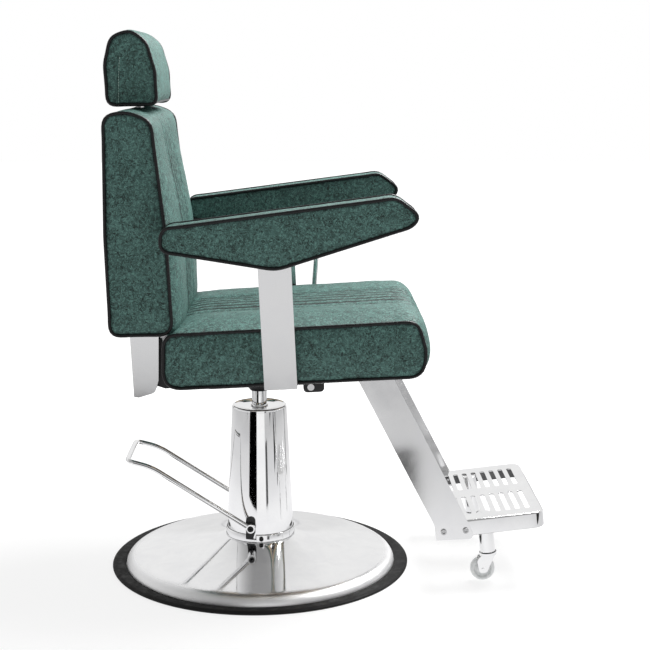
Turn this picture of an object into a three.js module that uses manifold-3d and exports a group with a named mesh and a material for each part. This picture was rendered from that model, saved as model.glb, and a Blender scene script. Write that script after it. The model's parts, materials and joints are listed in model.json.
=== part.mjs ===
// Hydraulic barber chair. Millimetres, +Z up, +X the way the occupant faces, +Y the occupant's left.
// Lengths are laid out from the pump's axis at floor level; the last lines centre the whole chair.

import * as THREE from "three";
import { mergeVertices } from "three/addons/utils/BufferGeometryUtils.js";
import Module from "manifold-3d";

const wasm = await Module();
wasm.setup();

// ---------------------------------------------------------------- driving dimensions

const GAP = 0.3; // between pieces that touch
const RUN = 0.4; // between a pin or shaft and its hole
const POCKET = 0.5; // between an upholstered body and what is let into it
const BASE_SIDES = 56; // facets round the base

const SEAT = { z: 421, tilt: 2.7, width: 470, rear: -167, front: 320, thickness: 100 };
const BOARD = { thickness: 12, inset: 20 };
const RAIL = { width: 30, height: 25, wall: 2.5, y: 100, rear: SEAT.rear + 43, front: SEAT.front - 95 };
const RAIL_OUTER = RAIL.y + RAIL.width / 2;
const MOUNT_PLATE = { length: 200, overhang: 3, thickness: 6 };
const CROSSBAR = { front: 25, frontHeight: 21, rear: 24, rearHeight: 8 };

const PISTON = { radius: 15, headWall: 7, headHeight: 28, topZ: SEAT.z - 38 };
const PISTON_HEAD = PISTON.radius + PISTON.headWall;
const HUB = { bottomZ: PISTON.topZ - 26, rim: 3, wall: 10, chamfer: 9 };

const BASE = { radius: 300, ringWidth: 27.5, ringHeight: 6, plate: 10, sheet: 1.5 };
const SHROUD = { bottomRadius: 68, topRadius: 54.7, topZ: SEAT.z - 99, sheet: 1.5 };
const DOME = { lipZ: 17, creaseInset: 50, creaseZ: 23.5, topZ: 60, shoulder: 6 };
const COLLAR = { radius: SHROUD.bottomRadius + 2.5, height: 15 };
const PUMP = { wall: 19.5, flangeWidth: 16, flange: 12, topZ: SHROUD.topZ - 18, boreZ: 105, ringPlay: 0.5 };
const PUMP_BORE = PISTON_HEAD + PUMP.ringPlay;
const PUMP_RADIUS = PUMP_BORE + PUMP.wall;
const GLAND_HEIGHT = 12;

const AXLE = { x: -17.3, z: 91.2, radius: 6, wall: 3.5, bossWidth: 10, halfSpan: SHROUD.bottomRadius + 7 };
const SLOT = { width: 2 * (AXLE.radius + AXLE.wall), bottomZ: 66, topZ: 112 };
const PEDAL = { rod: 10, kneeX: -212, kneeZ: 219, endX: -258, endZ: 231, bend: 13 };
const ROCKER = { length: 17, lobe: 5, width: 16 };
const PLUNGER = { radius: 5, bottomZ: 45 };

const COLUMN = { width: 60, thickness: 6, besideSeat: 19, rear: 18, intoPad: 40, footInner: RAIL_OUTER + 53 };
const COLUMN_INNER = SEAT.width / 2 + COLUMN.besideSeat;
const COLUMN_OUTER = COLUMN_INNER + COLUMN.thickness;
const PAD = { width: 65, innerY: COLUMN_INNER - 9, bottom: 221, tipRear: -147, tipFront: 308 };

const FOOT_ARM = { outerY: RAIL_OUTER + 58, thickness: 6, topRear: SEAT.front - 136, width: 66 };
const FOOT = { z: 83 - SEAT.z, height: 31, rake: 0.458 };
const FOOT_X = FOOT_ARM.topRear - FOOT.rake * (FOOT.z + FOOT.height);
const TREAD = {
  x: FOOT_X + 7.394,
  z: FOOT.z + 31.6,
  rise: 3.94,
  length: 206,
  depth: 31,
  sheet: 2.5,
  corner: 22,
};
const TREAD_HALF = FOOT_ARM.outerY - FOOT_ARM.thickness - GAP;
const TREAD_SLOT = { count: 9, pitch: 19, width: 11, length: 112, strip: 44, front: 27 };
const CASTER = {
  y: TREAD_HALF - 41.7,
  u: 94,
  stem: 15,
  stemLength: 78,
  wheel: 24,
  wheelWidth: 16,
  trail: 13.8,
};

const LUG = {
  x: COLUMN.rear + COLUMN.width + 10,
  y: SEAT.width / 2 - 35,
  width: 39,
  height: 27,
  thickness: 6,
};
const LEVER = { x: LUG.x + 14, z: -16.5, radius: 5, besideSeat: 15, rodRadius: 5.5, lean: 7, length: 205 };
const KNOB_RADIUS = 14;

const HINGE = { x: SEAT.rear - 29, z: SEAT.z + 11, pin: 5 };
const BACK = { width: 450, bottomDepth: 115, topDepth: 84, height: 401 };
const BACK_REAR = HINGE.x - 69;
const BACK_BOTTOM = SEAT.z + 90;
const BACK_TOP = BACK_BOTTOM + BACK.height;
const BACK_BOARD = {
  x: BACK_REAR + 19,
  thickness: 12,
  inset: 20,
  bottom: BACK_BOTTOM + 14,
  top: BACK_TOP - 27,
};
const BRACKET = { innerY: BACK.width / 2 - 60, width: 30, sheet: 3, top: BACK_BOTTOM + 49 };
const EAR = { y: BRACKET.innerY + BRACKET.width / 2, thickness: 12 };
const GAS_BAR = { x: HINGE.x - 12, z: HINGE.z - 35, radius: 7 };
const GUIDE = { wall: 3, bottom: BACK_TOP - 112, top: BACK_TOP - 7 };
const HEADREST = { width: 250, bottom: BACK_TOP + 12, height: 134, rear: BACK_REAR - 7, depth: 92 };
const POST_X = BACK_BOARD.x + BACK_BOARD.thickness + 6;
const POST = { x: POST_X, thickness: 8, width: 50, bottom: GUIDE.bottom - 60, top: HEADREST.bottom + 61 };

const GAS = { anchorX: 65, anchorZ: -15, pin: 4, radius: 9, cylinder: 150, rod: 4, play: 2.6 };
const GAS_EYE = { radius: 9, width: 13 };

const COLOURS = {
  chrome: [0xd9dbde, 0.08, 1.0],
  steel: [0x9a9da1, 0.35, 0.9],
  black: [0x131415, 0.45, 0.4],
  rubber: [0x141414, 0.8, 0.0],
  leather: [0x3f6659, 0.55, 0.0],
  plywood: [0xb98e5c, 0.7, 0.0],
  plastic: [0x0d0d0e, 0.5, 0.0],
  wheel: [0xc9cccb, 0.35, 0.0],
};

// ---------------------------------------------------------------- shape helpers

const rad = THREE.MathUtils.degToRad;

// A closed geometry as a manifold-3d solid.
function solid(geometry) {
  const bare = geometry.clone();
  bare.deleteAttribute("normal");
  bare.deleteAttribute("uv");
  const merged = mergeVertices(bare, 1e-4);
  return new wasm.Manifold(
    new wasm.Mesh({
      numProp: 3,
      vertProperties: merged.attributes.position.array,
      triVerts: new Uint32Array(merged.index.array),
    }),
  );
}

// A manifold-3d solid as a geometry.
function geometryOf(made) {
  const mesh = made.getMesh();
  const geometry = new THREE.BufferGeometry();
  geometry.setAttribute("position", new THREE.BufferAttribute(mesh.vertProperties, 3));
  geometry.setIndex(new THREE.BufferAttribute(mesh.triVerts, 1));
  geometry.computeVertexNormals();
  return geometry;
}

// The first geometry joined with the others.
function join(first, ...others) {
  return geometryOf(others.reduce((sum, g) => sum.add(solid(g)), solid(first)));
}

// The first geometry with the others cut away.
function cut(first, ...others) {
  return geometryOf(others.reduce((rest, g) => rest.subtract(solid(g)), solid(first)));
}

// A box between two corners.
function block(x0, x1, y0, y1, z0, z1) {
  const box = new THREE.BoxGeometry(x1 - x0, y1 - y0, z1 - z0);
  return box.translate((x0 + x1) / 2, (y0 + y1) / 2, (z0 + z1) / 2);
}

// A cylinder standing along Z.
function rodZ(radius, x, y, z0, z1, sides = 24) {
  const rod = new THREE.CylinderGeometry(radius, radius, z1 - z0, sides);
  return rod.rotateX(Math.PI / 2).translate(x, y, (z0 + z1) / 2);
}

// A cylinder lying along Y.
function rodY(radius, x, z, y0, y1, sides = 16) {
  const rod = new THREE.CylinderGeometry(radius, radius, y1 - y0, sides);
  return rod.translate(x, (y0 + y1) / 2, z);
}

// A solid of revolution about Z from a closed profile of [radius, z], outside face first.
function turned(profile, sides = 36) {
  const points = profile.map(([r, z]) => new THREE.Vector2(r, z));
  if (profile[0][0] > 0) points.push(points[0].clone());
  return new THREE.LatheGeometry(points, sides).rotateX(Math.PI / 2);
}

// A Shape through [x, z, fillet] corners; a fillet is limited by the edges beside it.
function outline(corners) {
  const at = (i) => corners[(i + corners.length) % corners.length];
  const shape = new THREE.Shape();
  corners.forEach(([x, z, fillet = 0], i) => {
    const corner = new THREE.Vector2(x, z);
    const before = new THREE.Vector2(at(i - 1)[0], at(i - 1)[1]).sub(corner);
    const after = new THREE.Vector2(at(i + 1)[0], at(i + 1)[1]).sub(corner);
    const half = Math.abs(before.angleTo(after)) / 2;
    const room = 0.49 * Math.min(before.length(), after.length());
    const back = Math.min(fillet / Math.tan(half), room);
    const start = corner.clone().addScaledVector(before.normalize(), back);
    const end = corner.clone().addScaledVector(after.normalize(), back);
    if (i === 0) shape.moveTo(start.x, start.y);
    else shape.lineTo(start.x, start.y);
    if (back > 0) shape.quadraticCurveTo(x, z, end.x, end.y);
  });
  shape.closePath();
  return shape;
}

// A shape drawn in X and Z, with thickness from y0 to y1.
function plateXZ(shape, y0, y1, curveSegments = 4) {
  const options = { depth: y1 - y0, bevelEnabled: false, curveSegments };
  return new THREE.ExtrudeGeometry(shape, options).rotateX(Math.PI / 2).translate(0, y1, 0);
}

// A shape drawn in X and Y, with thickness from z0 to z1.
function plateXY(shape, z0, z1, curveSegments = 4) {
  const options = { depth: z1 - z0, bevelEnabled: false, curveSegments };
  return new THREE.ExtrudeGeometry(shape, options).translate(0, 0, z0);
}

// A tube along a curve.
function tube(curve, radius, steps, sides = 8) {
  const section = new THREE.Shape().absarc(0, 0, radius, 0, 2 * Math.PI);
  const options = { extrudePath: curve, steps, bevelEnabled: false, curveSegments: sides / 2 };
  return new THREE.ExtrudeGeometry(section, options);
}

// A named mesh in one of the finishes.
function part(name, geometry, finish) {
  const [color, roughness, metalness] = COLOURS[finish];
  const material = new THREE.MeshStandardMaterial({ color, roughness, metalness });
  const mesh = new THREE.Mesh(geometry, material);
  mesh.name = name;
  return mesh;
}

// Runs make(side, "left" or "right") for the occupant's left (+Y) and right (-Y).
function bothSides(make) {
  return [make(1, "left"), make(-1, "right")].flat();
}

// y0 and y1 mirrored to one side, low value first.
function span(side, y0, y1) {
  return side > 0 ? [y0, y1] : [-y1, -y0];
}

const chair = new THREE.Group();

// The tilted frame of the seat: x runs along the seat, z is zero on its underside.
const seat = new THREE.Group();
seat.position.z = SEAT.z;
seat.rotation.y = -rad(SEAT.tilt);
chair.add(seat);

// A point of the chair's own frame, in the seat's frame.
function toSeat(x, z) {
  const a = rad(SEAT.tilt);
  const up = z - SEAT.z;
  return [x * Math.cos(a) + up * Math.sin(a), up * Math.cos(a) - x * Math.sin(a)];
}

// ---------------------------------------------------------------- base

function baseRing() {
  const { radius, ringWidth, ringHeight } = BASE;
  const inner = radius - ringWidth;
  return turned(
    [
      [radius - 3, 0],
      [radius - 0.8, 1],
      [radius, 3],
      [radius - 0.8, 5.2],
      [radius - 3, ringHeight + 0.8],
      [radius - 7, ringHeight + 1.4],
      [inner, ringHeight],
      [inner, 2],
      [inner + 3, 0],
    ],
    BASE_SIDES,
  );
}

function basePlate() {
  const edge = BASE.radius - DOME.creaseInset - 4;
  const top = 3 + BASE.plate;
  return turned([[0, 3], [edge, 3], [edge, top], [0, top]], BASE_SIDES);
}

// The pressed cover: a rolled lip, a crease and a slope that steepens up to the shroud.
function baseCover() {
  const edge = BASE.radius - BASE.ringWidth - GAP;
  const foot = 3;
  const { lipZ, creaseInset, creaseZ, topZ, shoulder } = DOME;
  const creaseRadius = BASE.radius - creaseInset;
  const topRadius = SHROUD.bottomRadius + shoulder;
  const hole = SHROUD.bottomRadius - shoulder;
  const lip = new THREE.QuadraticBezierCurve(
    new THREE.Vector2(edge, foot + 2),
    new THREE.Vector2(edge - 2, lipZ),
    new THREE.Vector2(creaseRadius, creaseZ),
  ).getPoints(3);
  const slope = new THREE.QuadraticBezierCurve(
    new THREE.Vector2(creaseRadius, creaseZ),
    new THREE.Vector2(topRadius + 46, creaseZ + 18.5),
    new THREE.Vector2(topRadius, topZ - 0.6),
  ).getPoints(6);
  const outside = [...lip, ...slope.slice(1)].map((p) => [p.x, p.y]);
  const inside = slope.map((p) => [p.x - 0.4, p.y - BASE.sheet]).reverse();
  const ring = [[edge, foot], ...outside, [hole, topZ], [hole, topZ - BASE.sheet], ...inside];
  return turned([...ring, [edge - BASE.sheet, foot]], BASE_SIDES);
}

// The shape of the axle slot on one side, grown all round by a clearance.
function slotBlock(side, clearance, y0, y1) {
  const half = SLOT.width / 2 + clearance;
  const [low, high] = span(side, y0, y1);
  const bottom = SLOT.bottomZ - clearance;
  const top = SLOT.topZ + clearance;
  const shape = outline([
    [AXLE.x - half, bottom, 1],
    [AXLE.x + half, bottom, 1],
    [AXLE.x + half, top, half],
    [AXLE.x - half, top, half],
  ]);
  return plateXZ(shape, low, high, 5);
}

function shroud() {
  const { bottomRadius, topRadius, topZ, sheet } = SHROUD;
  const z0 = DOME.topZ + GAP;
  const tube = turned([
    [bottomRadius, z0],
    [topRadius, topZ],
    [topRadius - sheet, topZ],
    [bottomRadius - sheet, z0],
  ]);
  return cut(tube, slotBlock(1, GAP, 30, COLLAR.radius + 20), slotBlock(-1, GAP, 30, COLLAR.radius + 20));
}

function shroudCollar() {
  const z0 = DOME.topZ + GAP;
  const inner = SHROUD.bottomRadius + GAP;
  const ring = turned([
    [COLLAR.radius - 1, z0],
    [COLLAR.radius, z0 + 1],
    [COLLAR.radius, z0 + COLLAR.height - 1.5],
    [COLLAR.radius - 1, z0 + COLLAR.height],
    [inner, z0 + COLLAR.height],
    [inner, z0],
  ]);
  return cut(ring, slotBlock(1, GAP, 30, COLLAR.radius + 20), slotBlock(-1, GAP, 30, COLLAR.radius + 20));
}

// Rolled rim, dished top and a hole for the piston.
function shroudCap() {
  const z0 = SHROUD.topZ + GAP;
  const r = SHROUD.topRadius;
  const hole = PISTON.radius + 1.5;
  return turned([
    [r, z0],
    [r + 0.3, z0 + 2],
    [r - 0.8, z0 + 4.5],
    [r - 3, z0 + 5.5],
    [r - 5.5, z0 + 4.5],
    [r - 20, z0 + 3],
    [hole + 3, z0 + 2.6],
    [hole, z0 + 2],
    [hole, z0],
  ]);
}

// Plastic guide plate that closes the slot round the axle.
function axleGuide(side) {
  const plate = slotBlock(side, 0, SHROUD.bottomRadius - 10, COLLAR.radius - 4);
  return cut(plate, rodY(AXLE.radius + RUN, AXLE.x, AXLE.z, -100, 100));
}

// Socket screw that clamps the collar, on the near side of the slot.
function collarScrew() {
  const x = 4;
  const z = DOME.topZ + GAP + COLLAR.height / 2;
  const y = -COLLAR.radius;
  const head = rodY(4.5, x, z, y - 4, y - GAP - 0.1, 20);
  return cut(head, rodY(2.2, x, z, y - 5, y - 2, 6));
}

// Cylinder of the hydraulic pump, with its bore, axle hole, rocker window and plunger hole.
function pumpBody() {
  const z0 = 3 + BASE.plate + GAP;
  const { flangeWidth, flange, topZ, boreZ } = PUMP;
  const radius = PUMP_RADIUS;
  const flangeRadius = radius + flangeWidth;
  const body = turned([
    [0, z0],
    [flangeRadius, z0],
    [flangeRadius, z0 + flange],
    [radius, z0 + flange],
    [radius, topZ],
    [0, topZ],
  ]);
  const plungerX = AXLE.x - ROCKER.length;
  const windowHalf = ROCKER.width / 2 + 3;
  return cut(
    body,
    rodZ(PUMP_BORE, 0, 0, boreZ, topZ + 1, 36),
    rodY(AXLE.radius + RUN, AXLE.x, AXLE.z, -100, 100),
    block(-radius - 5, AXLE.x + 8, -windowHalf, windowHalf, 62, boreZ + 3),
    rodZ(PLUNGER.radius + RUN, plungerX, 0, 30, 70, 24),
  );
}

function pumpGland() {
  const z0 = PUMP.topZ + GAP;
  const hole = PISTON.radius + RUN;
  const radius = PUMP_RADIUS;
  return turned([
    [radius, z0],
    [radius, z0 + GLAND_HEIGHT - 2],
    [radius - 2, z0 + GLAND_HEIGHT],
    [hole, z0 + GLAND_HEIGHT],
    [hole, z0],
  ]);
}

chair.add(
  part("base_ring", baseRing(), "rubber"),
  part("base_plate", basePlate(), "steel"),
  part("base_cover", baseCover(), "chrome"),
  part("shroud", shroud(), "chrome"),
  part("shroud_collar", shroudCollar(), "chrome"),
  part("shroud_cap", shroudCap(), "chrome"),
  part("collar_screw", collarScrew(), "black"),
  part("pump_body", pumpBody(), "steel"),
  part("pump_gland", pumpGland(), "steel"),
  ...bothSides((side, name) => part("axle_guide_" + name, axleGuide(side), "plastic")),
);

// ---------------------------------------------------------------- pedal

// Axle with a socket in each end and the rocker that pushes the pump's plunger.
function pedalAxle() {
  const { x, z, radius, halfSpan, bossWidth } = AXLE;
  const end = halfSpan + bossWidth / 2 - 1;
  const half = ROCKER.width / 2;
  const lobeX = x - ROCKER.length;
  const arm = block(lobeX, x, -half, half, z - 3.5, z + 3.5);
  const lobe = rodY(ROCKER.lobe, lobeX, z, -half, half);
  const whole = join(rodY(radius, x, z, -end, end), arm, lobe);
  return cut(whole, rodY(3, x, z, end - 4, end + 1, 6), rodY(3, x, z, -end - 1, -end + 4, 6));
}

// One bent rod: out from a boss, over the knee, across behind and back to the other boss.
function footPedal() {
  const { rod, kneeX, kneeZ, endX, endZ, bend } = PEDAL;
  const y = AXLE.halfSpan;
  const corners = [
    [AXLE.x, -y, AXLE.z, 0],
    [kneeX, -y, kneeZ, 20],
    [endX, -y, endZ, bend],
    [endX, y, endZ, bend],
    [kneeX, y, kneeZ, 20],
    [AXLE.x, y, AXLE.z, 0],
  ];
  const path = new THREE.CurvePath();
  let last = new THREE.Vector3(...corners[0].slice(0, 3));
  corners.slice(1).forEach(([cx, cy, cz, radius], i) => {
    const corner = new THREE.Vector3(cx, cy, cz);
    const next = corners[i + 2];
    const into = corner.clone().sub(last).normalize();
    const start = corner.clone().addScaledVector(into, -radius);
    path.add(new THREE.LineCurve3(last, start));
    if (next) {
      const out = new THREE.Vector3(...next.slice(0, 3)).sub(corner).normalize();
      const end = corner.clone().addScaledVector(out, radius);
      path.add(new THREE.QuadraticBezierCurve3(start, corner, end));
      last = end;
    }
  });
  const half = AXLE.bossWidth / 2;
  const bosses = [y, -y].map((c) => rodY(AXLE.radius + AXLE.wall, AXLE.x, AXLE.z, c - half, c + half, 24));
  const bore = rodY(AXLE.radius + GAP, AXLE.x, AXLE.z, -y - 20, y + 20, 24);
  return cut(join(tube(path, rod / 2, 64), ...bosses), bore);
}

function pumpPlunger() {
  const top = AXLE.z - ROCKER.lobe - RUN;
  return rodZ(PLUNGER.radius, AXLE.x - ROCKER.length, 0, PLUNGER.bottomZ, top, 24);
}

chair.add(
  part("pedal_axle", pedalAxle(), "steel"),
  part("foot_pedal", footPedal(), "chrome"),
  part("pump_plunger", pumpPlunger(), "steel"),
);

// ---------------------------------------------------------------- piston

function pistonRod() {
  const z0 = PUMP.boreZ + 7;
  const { radius, headHeight, topZ } = PISTON;
  return turned(
    [
      [0, z0],
      [PISTON_HEAD, z0],
      [PISTON_HEAD, z0 + headHeight],
      [radius, z0 + headHeight],
      [radius, topZ - 2],
      [radius - 2, topZ],
      [0, topZ],
    ],
    36,
  );
}

chair.add(part("piston_rod", pistonRod(), "chrome"));

// ---------------------------------------------------------------- seat frame

const PLATE_TOP = -GAP - RAIL.height - GAP;

// The socket on top of the piston, cut off along the tilted mounting plate.
function mountHub() {
  const { bottomZ, rim, wall, chamfer } = HUB;
  const bottomRadius = PISTON.radius + rim;
  const radius = PISTON.radius + wall;
  const hole = PISTON.radius + RUN;
  const top = PISTON.topZ + 2;
  const body = turned(
    [
      [bottomRadius, bottomZ],
      [radius, bottomZ + chamfer],
      [radius, SEAT.z],
      [0, SEAT.z],
      [0, top],
      [hole, top],
      [hole, bottomZ],
      [bottomRadius, bottomZ],
    ],
    40,
  );
  const above = block(-60, 60, -60, 60, PLATE_TOP - MOUNT_PLATE.thickness - GAP, 60);
  above.rotateY(-rad(SEAT.tilt)).translate(0, 0, SEAT.z);
  return cut(body, above);
}

function mountPlate() {
  const { length, overhang, thickness } = MOUNT_PLATE;
  const width = 2 * (RAIL_OUTER + overhang);
  const shape = outline([
    [-length / 2, -width / 2, 15],
    [length / 2, -width / 2, 15],
    [length / 2, width / 2, 15],
    [-length / 2, width / 2, 15],
  ]);
  return plateXY(shape, PLATE_TOP - thickness, PLATE_TOP);
}

// Rectangular tube with a hole for the lever's shaft.
function seatRail(side) {
  const { width, height, wall, y, rear, front } = RAIL;
  const [low, high] = span(side, y - width / 2, y + width / 2);
  const top = -GAP;
  const bar = block(rear, front, low, high, top - height, top);
  const inside = block(rear - 1, front + 1, low + wall, high - wall, top - height + wall, top - wall);
  return cut(bar, inside, rodY(LEVER.radius + RUN, LEVER.x, LEVER.z, low - 1, high + 1));
}

// Bar across the fronts of the rails, under the flanges of the footrest arms.
function frontCrossbar() {
  const x0 = RAIL.front + GAP;
  const half = TREAD_HALF;
  const top = -GAP - FOOT_ARM.thickness - GAP;
  const { front, frontHeight } = CROSSBAR;
  const bar = block(x0, x0 + front, -half, half, top - frontHeight, top);
  const w = RAIL.wall;
  const inside = block(x0 + w, x0 + front - w, -half - 1, half + 1, top - frontHeight + w, top - w);
  return cut(bar, inside);
}

function rearCrossbar() {
  const { rear, rearHeight } = CROSSBAR;
  const x1 = RAIL.rear - GAP;
  const half = EAR.y - EAR.thickness / 2 - GAP;
  return block(x1 - rear, x1, -half, half, -GAP - rearHeight, -GAP);
}

// Black plate that carries the backrest hinge: a tongue under the seat and an upright behind it.
function hingeEar(side) {
  const [hx, hz] = toSeat(HINGE.x, HINGE.z);
  const front = RAIL.rear - GAP - CROSSBAR.rear + 32;
  const behind = SEAT.rear - 2.5;
  const [low, high] = span(side, EAR.y - EAR.thickness / 2, EAR.y + EAR.thickness / 2);
  const shape = outline([
    [hx - 14, hz - 14, 13],
    [behind, -10, 4],
    [front, -10, 2],
    [front, -GAP, 1],
    [behind, -GAP, 3],
    [behind, 84, 3],
    [behind - 10, 84, 4],
    [behind - 14, hz + 16, 8],
    [hx - 14, hz + 14, 13],
  ]);
  return cut(plateXZ(shape, low, high), rodY(HINGE.pin + GAP, hx, hz, low - 1, high + 1));
}

// Stud from inside the inner flange of the bracket to the inner side of the outer flange.
function hingePin(side) {
  const [hx, hz] = toSeat(HINGE.x, HINGE.z);
  const inner = BRACKET.innerY;
  const outer = inner + BRACKET.width - BRACKET.sheet - GAP;
  const [a, b] = span(side, inner - 2, outer);
  const [c, d] = span(side, inner - 6, inner - GAP);
  return join(rodY(HINGE.pin, hx, hz, a, b), rodY(HINGE.pin + 4, hx, hz, c, d, 6));
}

function seatOutline() {
  const { rear, front, thickness } = SEAT;
  return outline([
    [rear, 0, 30],
    [front - 12, 0, 30],
    [front - 4, thickness * 0.46, 34],
    [front - 18, thickness + 1.5, 22],
    [rear + 7, thickness - 1, 22],
  ]);
}

// Plan of the seat board, grown all round by a clearance.
function boardBlock(clearance, z0, z1) {
  const x0 = SEAT.rear + BOARD.inset - clearance;
  const x1 = SEAT.front - 10 - BOARD.inset + clearance;
  const half = SEAT.width / 2 - BOARD.inset + clearance;
  return block(x0, x1, -half, half, z0, z1);
}

function seatCushion() {
  const body = plateXZ(seatOutline(), -SEAT.width / 2, SEAT.width / 2);
  return cut(body, boardBlock(POCKET, -1, BOARD.thickness + POCKET));
}

// Flat bar: the foot lies under the seat board, the top is let into the arm pad.
function armColumn(side) {
  const { width, thickness, rear, footInner, intoPad } = COLUMN;
  const top = PAD.bottom + intoPad;
  const [a, b] = span(side, COLUMN_INNER, COLUMN_OUTER);
  const [c, d] = span(side, footInner, COLUMN_OUTER - 1);
  const bottom = -GAP - thickness;
  const upright = block(rear, rear + width, a, b, bottom + 1, top);
  const foot = block(rear, rear + width, c, d, bottom, -GAP);
  return join(upright, foot);
}

function armOutline() {
  const { bottom, tipRear, tipFront } = PAD;
  return outline([
    [tipRear, bottom + 42, 12],
    [52, bottom, 60],
    [tipFront - 18, bottom + 63, 16],
    [tipFront, bottom + 80, 14],
    [tipFront - 40, bottom + 114, 18],
    [tipRear + 4, bottom + 80, 14],
  ]);
}

function armrest(side) {
  const [low, high] = span(side, PAD.innerY, PAD.innerY + PAD.width);
  const { width, rear, intoPad } = COLUMN;
  const [a, b] = span(side, COLUMN_INNER - POCKET, COLUMN_OUTER + POCKET);
  const top = PAD.bottom + intoPad + POCKET;
  const pocket = block(rear - POCKET, rear + width + POCKET, a, b, PAD.bottom - 20, top);
  return cut(plateXZ(armOutline(), low, high), pocket);
}

seat.add(
  part("mount_plate", mountPlate(), "black"),
  part("front_crossbar", frontCrossbar(), "black"),
  part("rear_crossbar", rearCrossbar(), "black"),
  part("seat_board", boardBlock(0, 0, BOARD.thickness), "plywood"),
  part("seat_cushion", seatCushion(), "leather"),
  ...bothSides((side, name) => [
    part("seat_rail_" + name, seatRail(side), "black"),
    part("hinge_ear_" + name, hingeEar(side), "black"),
    part("hinge_pin_" + name, hingePin(side), "steel"),
    part("arm_column_" + name, armColumn(side), "chrome"),
    part("armrest_" + name, armrest(side), "leather"),
  ]),
);
chair.add(part("mount_hub", mountHub(), "black"));

// ---------------------------------------------------------------- footrest

// Raked flat bar hung from a flange under the seat, with a foot that holds the tread.
function footArm(side) {
  const { outerY, thickness, topRear, width } = FOOT_ARM;
  const [a, b] = span(side, outerY - thickness, outerY);
  const [c, d] = span(side, RAIL_OUTER + GAP, outerY - 1);
  const knee = FOOT.z + FOOT.height;
  const bar = outline([
    [topRear, -GAP, 0],
    [FOOT_X, knee, 2],
    [FOOT_X + 3, FOOT.z, 0],
    [FOOT_X + width + 4, FOOT.z, 8],
    [FOOT_X + width + 9, FOOT.z + 9, 6],
    [FOOT_X + width, knee, 10],
    [topRear + width, -GAP, 0],
  ]);
  const plate = plateXZ(bar, a, b);
  const flange = block(topRear - 58, topRear + width + 5, c, d, -GAP - thickness, -GAP);
  const holes = screwPlaces().map(([x, z]) => rodY(3.2, x, z, Math.min(a, b) - 1, Math.max(a, b) + 1));
  return cut(join(plate, flange), ...holes);
}

// The two screws on each side that hold the tread between the arms.
function screwPlaces() {
  return [
    [FOOT_X + 17.5, FOOT.z + 16.7],
    [FOOT_X + 59.8, FOOT.z + 17.5],
  ];
}

// Cap screw with a domed head and a socket.
function footScrew(side, [x, z]) {
  const y = FOOT_ARM.outerY + GAP;
  const [a, b] = span(side, y - FOOT_ARM.thickness - 9, y + 0.5);
  const [c, d] = span(side, y, y + 3.5);
  const [e, f] = span(side, y + 1.5, y + 5);
  const whole = join(rodY(2.9, x, z, a, b, 16), rodY(5.6, x, z, c, d, 24));
  return cut(whole, rodY(2.6, x, z, e, f, 6));
}

for (const [i, place] of screwPlaces().entries()) {
  const end = i === 0 ? "rear" : "front";
  seat.add(
    ...bothSides((side, name) => {
      return part(`foot_screw_${end}_${name}`, footScrew(side, place), "steel");
    }),
  );
}
seat.add(...bothSides((side, name) => part("footrest_arm_" + name, footArm(side), "chrome")));

// The tread's own frame: x runs forward along it, z is zero on its top face at the rear edge.
const footrest = new THREE.Group();
footrest.position.set(TREAD.x, 0, TREAD.z);
footrest.rotation.y = -rad(TREAD.rise);
seat.add(footrest);

// Plan of the tread drawn in by a wall, with rounded front corners.
function treadPlan(wall) {
  const front = TREAD.length - wall;
  const half = TREAD_HALF - wall;
  const corner = TREAD.corner - wall;
  return outline([
    [0, -half, 0],
    [front, -half, corner],
    [front, half, corner],
    [0, half, 0],
  ]);
}

// A sheet with a skirt down its front and sides and two rows of slots.
function treadSheet() {
  const { length, depth, sheet } = TREAD;
  const outer = plateXY(treadPlan(0), -depth, -sheet);
  const inner = plateXY(treadPlan(sheet), -depth - 1, -sheet + 1);
  const open = block(-1, sheet, -TREAD_HALF + sheet, TREAD_HALF - sheet, -depth - 1, -sheet + 1);
  const skirt = cut(outer, inner, open);
  const top = treadPlan(0);
  const { count, pitch, width, strip, front } = TREAD_SLOT;
  for (const side of [1, -1]) {
    for (let i = 0; i < count; i += 1) {
      const x = length - front - i * pitch;
      const near = strip / 2 + width / 2;
      const far = strip / 2 + TREAD_SLOT.length - width / 2;
      const hole = new THREE.Path();
      hole.absarc(x, side > 0 ? far : -near, width / 2, 0, Math.PI);
      hole.absarc(x, side > 0 ? near : -far, width / 2, Math.PI, 2 * Math.PI);
      hole.closePath();
      top.holes.push(hole);
    }
  }
  const screws = screwPlaces().map(([x, z]) => {
    const a = rad(TREAD.rise);
    const [dx, dz] = [x - TREAD.x, z - TREAD.z];
    const u = dx * Math.cos(a) + dz * Math.sin(a);
    return rodY(3.2, u, dz * Math.cos(a) - dx * Math.sin(a), -TREAD_HALF - 30, TREAD_HALF + 30, 16);
  });
  return cut(join(plateXY(top, -sheet - 0.001, 0, 2), skirt), ...screws);
}

function casterStem(side) {
  const y = side * CASTER.y;
  const top = -TREAD.sheet - GAP;
  const bottom = top - CASTER.stemLength;
  const stem = rodZ(CASTER.stem, CASTER.u, y, bottom, top);
  return cut(stem, rodZ(5 + RUN, CASTER.u, y, bottom - 1, bottom + 26, 20));
}

const SWIVEL_TOP = -TREAD.sheet - GAP - CASTER.stemLength - 1.2;
const WHEEL_U = CASTER.u - CASTER.trail;
const WHEEL_W = SWIVEL_TOP - 6 - 2.5 - CASTER.wheel;

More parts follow.
